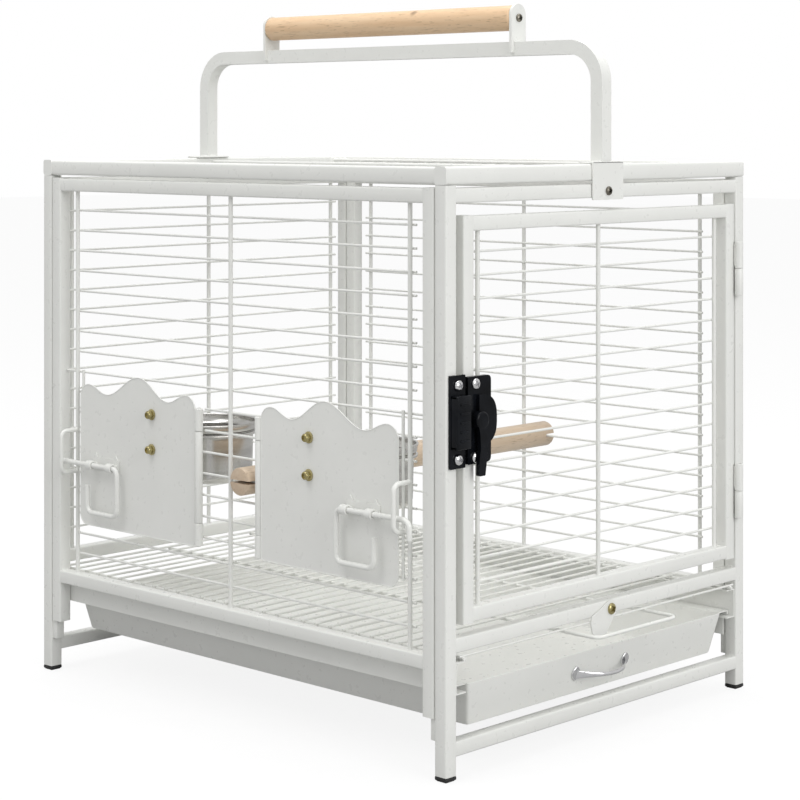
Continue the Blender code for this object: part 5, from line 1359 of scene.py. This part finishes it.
def make_floor_grille():
    """Cross bars on stringers; one long wire makes both middle stringers and the pull at the front."""
    first = GRILLE_FIRST_Y
    count = 1 + int((LENGTH / 2 - 0.0100 - first) / GRILLE_PITCH)
    rear = first + GRILLE_PITCH * (count - 1) + THIN
    z = GRILLE_Z - THIN / 2 - GRILLE_STRINGER / 2 + WELD
    edge = GRILLE_HALF_X - 0.0045
    half = GRILLE_PULL_WIDTH / 2
    bars = []
    shape = Shape()
    for index in range(count):
        y = first + GRILLE_PITCH * index
        bars.append(((-GRILLE_HALF_X, y, GRILLE_Z), (GRILLE_HALF_X, y, GRILLE_Z)))
        for x in (-edge, -half, half, edge):
            shape.bead((x, y, (GRILLE_Z + z) / 2), (GRILLE_STRINGER, THIN * 1.5, THIN * 1.1))
    sides = [((x, first - THIN, z), (x, rear, z)) for x in (-edge, edge)]
    front = first - GRILLE_PULL_REACH
    corners = [(-half, rear, z), (-half, front, z), (half, front, z), (half, rear, z)]
    pull = rounded_path(corners, 0.0075, 10)
    for piece in (
        shape.finish("grille_welds"),
        wire_object("grille_bars", bars, THIN, 2),
        wire_object("grille_stringers", sides, GRILLE_STRINGER),
        wire_object("grille_pull", [pull], GRILLE_STRINGER),
    ):
        place_coated(piece, "floor_grille", "floor_grille")


def loft(rings):
    """Joins rings of points, each with as many points, into one closed skin."""
    grid = bmesh.new()
    levels = [[grid.verts.new(point) for point in ring] for ring in rings]
    for lower, upper in zip(levels, levels[1:]):
        for index in range(len(lower)):
            after = (index + 1) % len(lower)
            grid.faces.new((lower[index], lower[after], upper[after], upper[index]))
    grid.faces.new(levels[0])
    grid.faces.new(levels[-1])
    shape = Shape()
    shape.take(grid)
    return shape


def tray_ring(back, corner, z):
    """A rounded rectangle at one height of the tray, set back by so much from its rim."""
    half = TRAY_HALF_X - back
    corners = rectangle(-half, half, TRAY_FRONT_Y + back, TRAY_REAR_Y - back)
    return [(x, y, z) for x, y in rounded_outline(corners, corner, 5)]


def make_tray():
    """The folded tray: flared walls, a hemmed rim, and side lips turned down to run in the channels."""
    low = TRAY_TOP - TRAY_DEPTH
    wall = TRAY_WALL
    fold = 0.0018
    slope = TRAY_FLARE / TRAY_DEPTH
    outside = ((low, fold * 0.9), (low + fold * 0.3, fold * 0.25), (low + fold, 0.0))
    inside = ((low + wall + fold, wall), (low + wall, wall + fold * 0.8))
    rings = [tray_ring(slope * (TRAY_TOP - z) + inset, 0.0030, z) for z, inset in outside]
    rings.append(tray_ring(0.0, 0.0030, TRAY_TOP - 0.0004))
    rings.append(tray_ring(0.0003, 0.0028, TRAY_TOP))
    rings.append(tray_ring(wall, 0.0020, TRAY_TOP))
    rings += [tray_ring(slope * (TRAY_TOP - z) + inset, 0.0020, z) for z, inset in inside]
    place_coated(loft(rings).finish("tray_pan"), "tray", "tray")
    near = TRAY_HALF_X - wall * 0.6
    far = TRAY_HALF_X + TRAY_LIP
    outline = [(near, TRAY_TOP - 0.0001), (far, TRAY_TOP - 0.0001), (far, TRAY_TOP - TRAY_HEM)]
    outline += [(far - wall, TRAY_TOP - TRAY_HEM), (far - wall, TRAY_TOP - wall), (near, TRAY_TOP - wall)]
    centre = (0.0, (TRAY_FRONT_Y + TRAY_REAR_Y) / 2, 0.0)
    for word, side in (("left", -1), ("right", 1)):
        profile = [(side * across, up) for across, up in outline]
        lip = sheet_object("tray_lip_" + word, [profile], TRAY_REAR_Y - TRAY_FRONT_Y - 0.006, centre, "Y")
        place_coated(lip, "tray", "tray")


def make_tray_pull():
    """A chromed bow, round in its middle and flat at its ends, on two leaf-shaped feet against the tray."""
    z = TRAY_PULL_Z
    slope = TRAY_FLARE / TRAY_DEPTH
    seat = TRAY_FRONT_Y + slope * (TRAY_TOP - z)
    half = TRAY_PULL_HALF
    reach = TRAY_PULL_REACH
    rings = []
    for step in range(49):
        share = step / 24 - 1
        bow = 1 - share * share
        centre = Vector((half * share, seat - 0.0014 - reach * bow, z - 0.0010 * bow))
        out = Vector((-2 * reach * share, -half, 0.0)).normalized()
        oval = arc((0.0, 0.0), 1.0, 0, 342, 19)
        thick = 0.0017 - 0.0005 * share**4
        tall = Vector((0.0, 0.0, 0.0018 + 0.0020 * share**4))
        rings.append([centre + out * (thick * across) + tall * up for across, up in oval])
    place(loft(rings).finish("pull_bow"), "tray", "chrome_plate", "tray_pull")
    lean = Matrix(((1, 0, 0, 0), (0, 1, -slope, slope * z), (0, 0, 1, 0), (0, 0, 0, 1)))
    shares = [step / 16 for step in range(17)]
    leaf = [(0.0052 * math.sin(math.pi * share) ** 0.75, share) for share in shares[:-1]]
    leaf += [(-0.0052 * math.sin(math.pi * share) ** 0.75, share) for share in reversed(shares[1:])]
    for word, side in (("left", -1), ("right", 1)):
        outline = [(side * half + across, z - 0.0056 + 0.0136 * share) for across, share in leaf]
        foot = sheet_object("pull_foot_" + word, [outline], 0.0018, (0.0, seat - 0.0010, 0.0), "Y", 0.0006)
        foot.data.transform(lean)
        place(foot, "tray", "chrome_plate", "tray_pull")


def make_swivel_tab():
    """The flat catch on the middle rail, with a softened edge, turning on its screw."""
    edge = [(-0.0183, 0.0), (-0.0265, -0.0030), (-0.0285, -0.0085), (-0.0260, -0.0180), (-0.0165, -0.0245)]
    edge.append((-0.0075, -0.0210))
    outline = arc((TAB_X, TAB_Z), 0.0080, -60, 130, 24)
    outline += [(TAB_X + across, TAB_Z + up) for across, up in edge]
    outlines = [rounded_outline(outline, 0.0004, 3), screw_hole(TAB_X, TAB_Z)]
    tab = sheet_object("tab_plate", outlines, TAB_THICK, (0.0, FRONT_Y - FIT - TAB_THICK / 2, 0.0), "Y")
    place_coated(tab, "swivel_tab", "swivel_tab")
    seat = (TAB_X, FRONT_Y - 2 * FIT - TAB_THICK, TAB_Z)
    phillips_screw("tab_cross_screw", seat, -1, 0.0100, 0.0026, "cage", "brass_plate", "tab_screw", 0.004)


def coat_runners():
    """The channels keep the frame's own shape, with the coat on them."""
    for word in ("left", "right"):
        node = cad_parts["tray_runner_" + word]
        node.data.materials.clear()
        node.data.materials.append(finish_for("white_coat"))


def mix_seen(tree, share, ordinary, plain, output):
    """Shows the plain shader to the rays of that share, and the ordinary one to the rest."""
    mixer = tree.nodes.new("ShaderNodeMixShader")
    for place_in, socket in zip(mixer.inputs, (share.socket, ordinary, plain)):
        tree.links.new(socket, place_in)
    tree.links.new(mixer.outputs["Shader"], output.inputs["Surface"])


def glowing(tree, kind, colour, strength):
    """An emission or background shader of one colour and strength."""
    node = tree.nodes.new(kind)
    node.inputs["Color"].default_value = (*colour, 1.0)
    node.inputs["Strength"].default_value = strength
    return node.outputs[0]


def make_floor(colour):
    """A pale floor that keeps the object's shadow, which camera rays see nearly white."""
    grid = bmesh.new()
    bmesh.ops.create_grid(grid, x_segments=1, y_segments=1, size=12.0)
    mesh = bpy.data.meshes.new("floor")
    grid.to_mesh(mesh)
    grid.free()
    floor = bpy.data.objects.new("floor", mesh)
    bpy.context.scene.collection.objects.link(floor)
    paper = Finish("floor_paper")
    grain = paper.between(paper.noise(40.0), 0.0, 1.0)
    paper.finish(paper.mix(grain, shade(colour, 0.38), shade(colour, 0.40)), 0.9)
    tree = paper.tree
    glow = glowing(tree, "ShaderNodeEmission", colour, FLOOR_GLOW)
    seen = Signal(tree, tree.nodes.new("ShaderNodeLightPath").outputs["Is Camera Ray"]) * FLOOR_SHARE
    mix_seen(tree, seen, paper.surface.outputs["BSDF"], glow, paper.output)
    mesh.materials.append(paper.material)


def make_world(colour):
    """Even light from all round, behind which camera and glass rays see the plain background."""
    world = bpy.data.worlds.new("studio")
    world.use_nodes = True
    bpy.context.scene.world = world
    tree = world.node_tree
    tree.nodes.clear()
    plain = glowing(tree, "ShaderNodeBackground", colour, 1.0)
    soft = glowing(tree, "ShaderNodeBackground", (1.0, 1.0, 1.0), AMBIENT)
    rays = tree.nodes.new("ShaderNodeLightPath").outputs
    camera = Signal(tree, rays["Is Camera Ray"])
    seen = camera.maths("MAXIMUM", camera, Signal(tree, rays["Is Transmission Ray"]))
    mix_seen(tree, seen, soft, plain, tree.nodes.new("ShaderNodeOutputWorld"))


def make_lamp(name, spot, size, power):
    """A square soft box that faces the cage."""
    data = bpy.data.lights.new(name, "AREA")
    data.size = size
    data.energy = power
    lamp = bpy.data.objects.new(name, data)
    lamp.location = spot
    aim = Vector((0.0, 0.0, 0.30)) - Vector(spot)
    lamp.rotation_euler = aim.to_track_quat("-Z", "Y").to_euler()
    bpy.context.scene.collection.objects.link(lamp)


def make_camera():
    """The photograph's view, solved from the cage's own right angles."""
    data = bpy.data.cameras.new("photo_view")
    data.lens = 96.55
    data.sensor_width = 36.0
    data.shift_y = -0.3413
    camera = bpy.data.objects.new("photo_view", data)
    camera.location = (-1.48925, -1.43575, 0.5349)
    camera.rotation_euler = (math.radians(90), 0.0, math.radians(-46.187))
    bpy.context.scene.collection.objects.link(camera)
    bpy.context.scene.camera = camera


class Stage(bpy.types.Operator):
    """Light, camera, backdrop and floor"""

    bl_idname = "cage.stage"
    bl_label = "Stage"

    def execute(self, context):
        colour = context.scene.cage_colours.background
        context.scene.view_settings.view_transform = "Standard"
        make_world(colour)
        make_floor(colour)
        for name, (spot, size, power) in SOFT_BOXES.items():
            make_lamp(name, spot, size, power)
        make_camera()
        return {"FINISHED"}


class EndFrames(bpy.types.Operator):
    """The open front frame, the closed rear frame and the caps on their feet"""

    bl_idname = "cage.end_frames"
    bl_label = "End frames"

    def execute(self, context):
        make_front_frame()
        make_rear_frame()
        make_foot_caps()
        return {"FINISHED"}


class SidePanels(bpy.types.Operator):
    """The two side panels of tube and welded wire"""

    bl_idname = "cage.side_panels"
    bl_label = "Side panels"

    def execute(self, context):
        make_side_panel_left()
        make_side_panel_right()
        return {"FINISHED"}


class Lid(bpy.types.Operator):
    """The lid with its deeper border"""

    bl_idname = "cage.lid"
    bl_label = "Lid"

    def execute(self, context):
        make_lid()
        return {"FINISHED"}


class FrontDoor(bpy.types.Operator):
    """The barred door and its lift-off hinges"""

    bl_idname = "cage.front_door"
    bl_label = "Front door"

    def execute(self, context):
        make_front_door()
        make_door_hinges()
        return {"FINISHED"}


class Lock(bpy.types.Operator):
    """The black sash lock: keeper, base, cam with lever, and four screws"""

    bl_idname = "cage.lock"
    bl_label = "Lock"

    def execute(self, context):
        make_lock_keeper()
        make_lock_base()
        make_lock_lever()
        make_lock_screws()
        return {"FINISHED"}


class FeederDoors(bpy.types.Operator):
    """Both feeder doors with their nuts, slide bolts, cup rings and cups"""

    bl_idname = "cage.feeder_doors"
    bl_label = "Feeder doors"

    def execute(self, context):
        for word, side in (("left", 1), ("right", -1)):
            make_feeder_door(word, side)
            make_feeder_fixings(word, side)
            make_bolt_bracket(word, side)
            make_slide_bolt(word, side)
            make_cup_holder(word, side)
            make_cup(word, side)
        return {"FINISHED"}


class Wood(bpy.types.Operator):
    """The beech perch and the grip"""

    bl_idname = "cage.wood"
    bl_label = "Perch and grip"

    def execute(self, context):
        make_perch()
        make_grip()
        return {"FINISHED"}


class CarryArch(bpy.types.Operator):
    """The carrying arch, its straps and its screws"""

    bl_idname = "cage.carry_arch"
    bl_label = "Carrying arch"

    def execute(self, context):
        make_arch()
        for word, side in (("front", -1), ("rear", 1)):
            make_arch_foot(word, side)
            make_grip_strap(word, side)
        make_arch_screws()
        return {"FINISHED"}


class FloorGrille(bpy.types.Operator):
    """The sliding floor grille"""

    bl_idname = "cage.floor_grille"
    bl_label = "Floor grille"

    def execute(self, context):
        make_floor_grille()
        return {"FINISHED"}


class Tray(bpy.types.Operator):
    """The drawer tray, its pull, its channels and the swivel tab above it"""

    bl_idname = "cage.tray"
    bl_label = "Tray"

    def execute(self, context):
        make_tray()
        make_tray_pull()
        make_swivel_tab()
        coat_runners()
        return {"FINISHED"}


class CagePanel(bpy.types.Panel):
    """Lists the operators in the order in which the cage is put together"""

    bl_idname = "VIEW3D_PT_parrot_cage"
    bl_label = "Parrot Cage"
    bl_space_type = "VIEW_3D"
    bl_region_type = "UI"
    bl_category = "Parrot Cage"

    def draw(self, context):
        for part in ORDER:
            self.layout.operator(part.bl_idname)
        for group in (context.scene.cage_sizes, context.scene.cage_colours):
            for name in group.bl_rna.properties.keys():
                if name not in ("rna_type", "name"):
                    self.layout.prop(group, name)


ORDER = (EndFrames, SidePanels, Lid, FrontDoor, Lock, FeederDoors, Wood, CarryArch, FloorGrille, Tray,
         Stage)
CLASSES = (CageSizes, CageColours) + ORDER + (CagePanel,)


def register():
    for part in CLASSES:
        bpy.utils.register_class(part)
    bpy.types.Scene.cage_sizes = PointerProperty(type=CageSizes)
    bpy.types.Scene.cage_colours = PointerProperty(type=CageColours)


def unregister():
    del bpy.types.Scene.cage_colours
    del bpy.types.Scene.cage_sizes
    for part in reversed(CLASSES):
        bpy.utils.unregister_class(part)


def main():
    register()
    bpy.ops.cage.end_frames()
    bpy.ops.cage.side_panels()
    bpy.ops.cage.lid()
    bpy.ops.cage.front_door()
    bpy.ops.cage.lock()
    bpy.ops.cage.feeder_doors()
    bpy.ops.cage.wood()
    bpy.ops.cage.carry_arch()
    bpy.ops.cage.floor_grille()
    bpy.ops.cage.tray()
    bpy.ops.cage.stage()


if __name__ == "__main__":
    main()
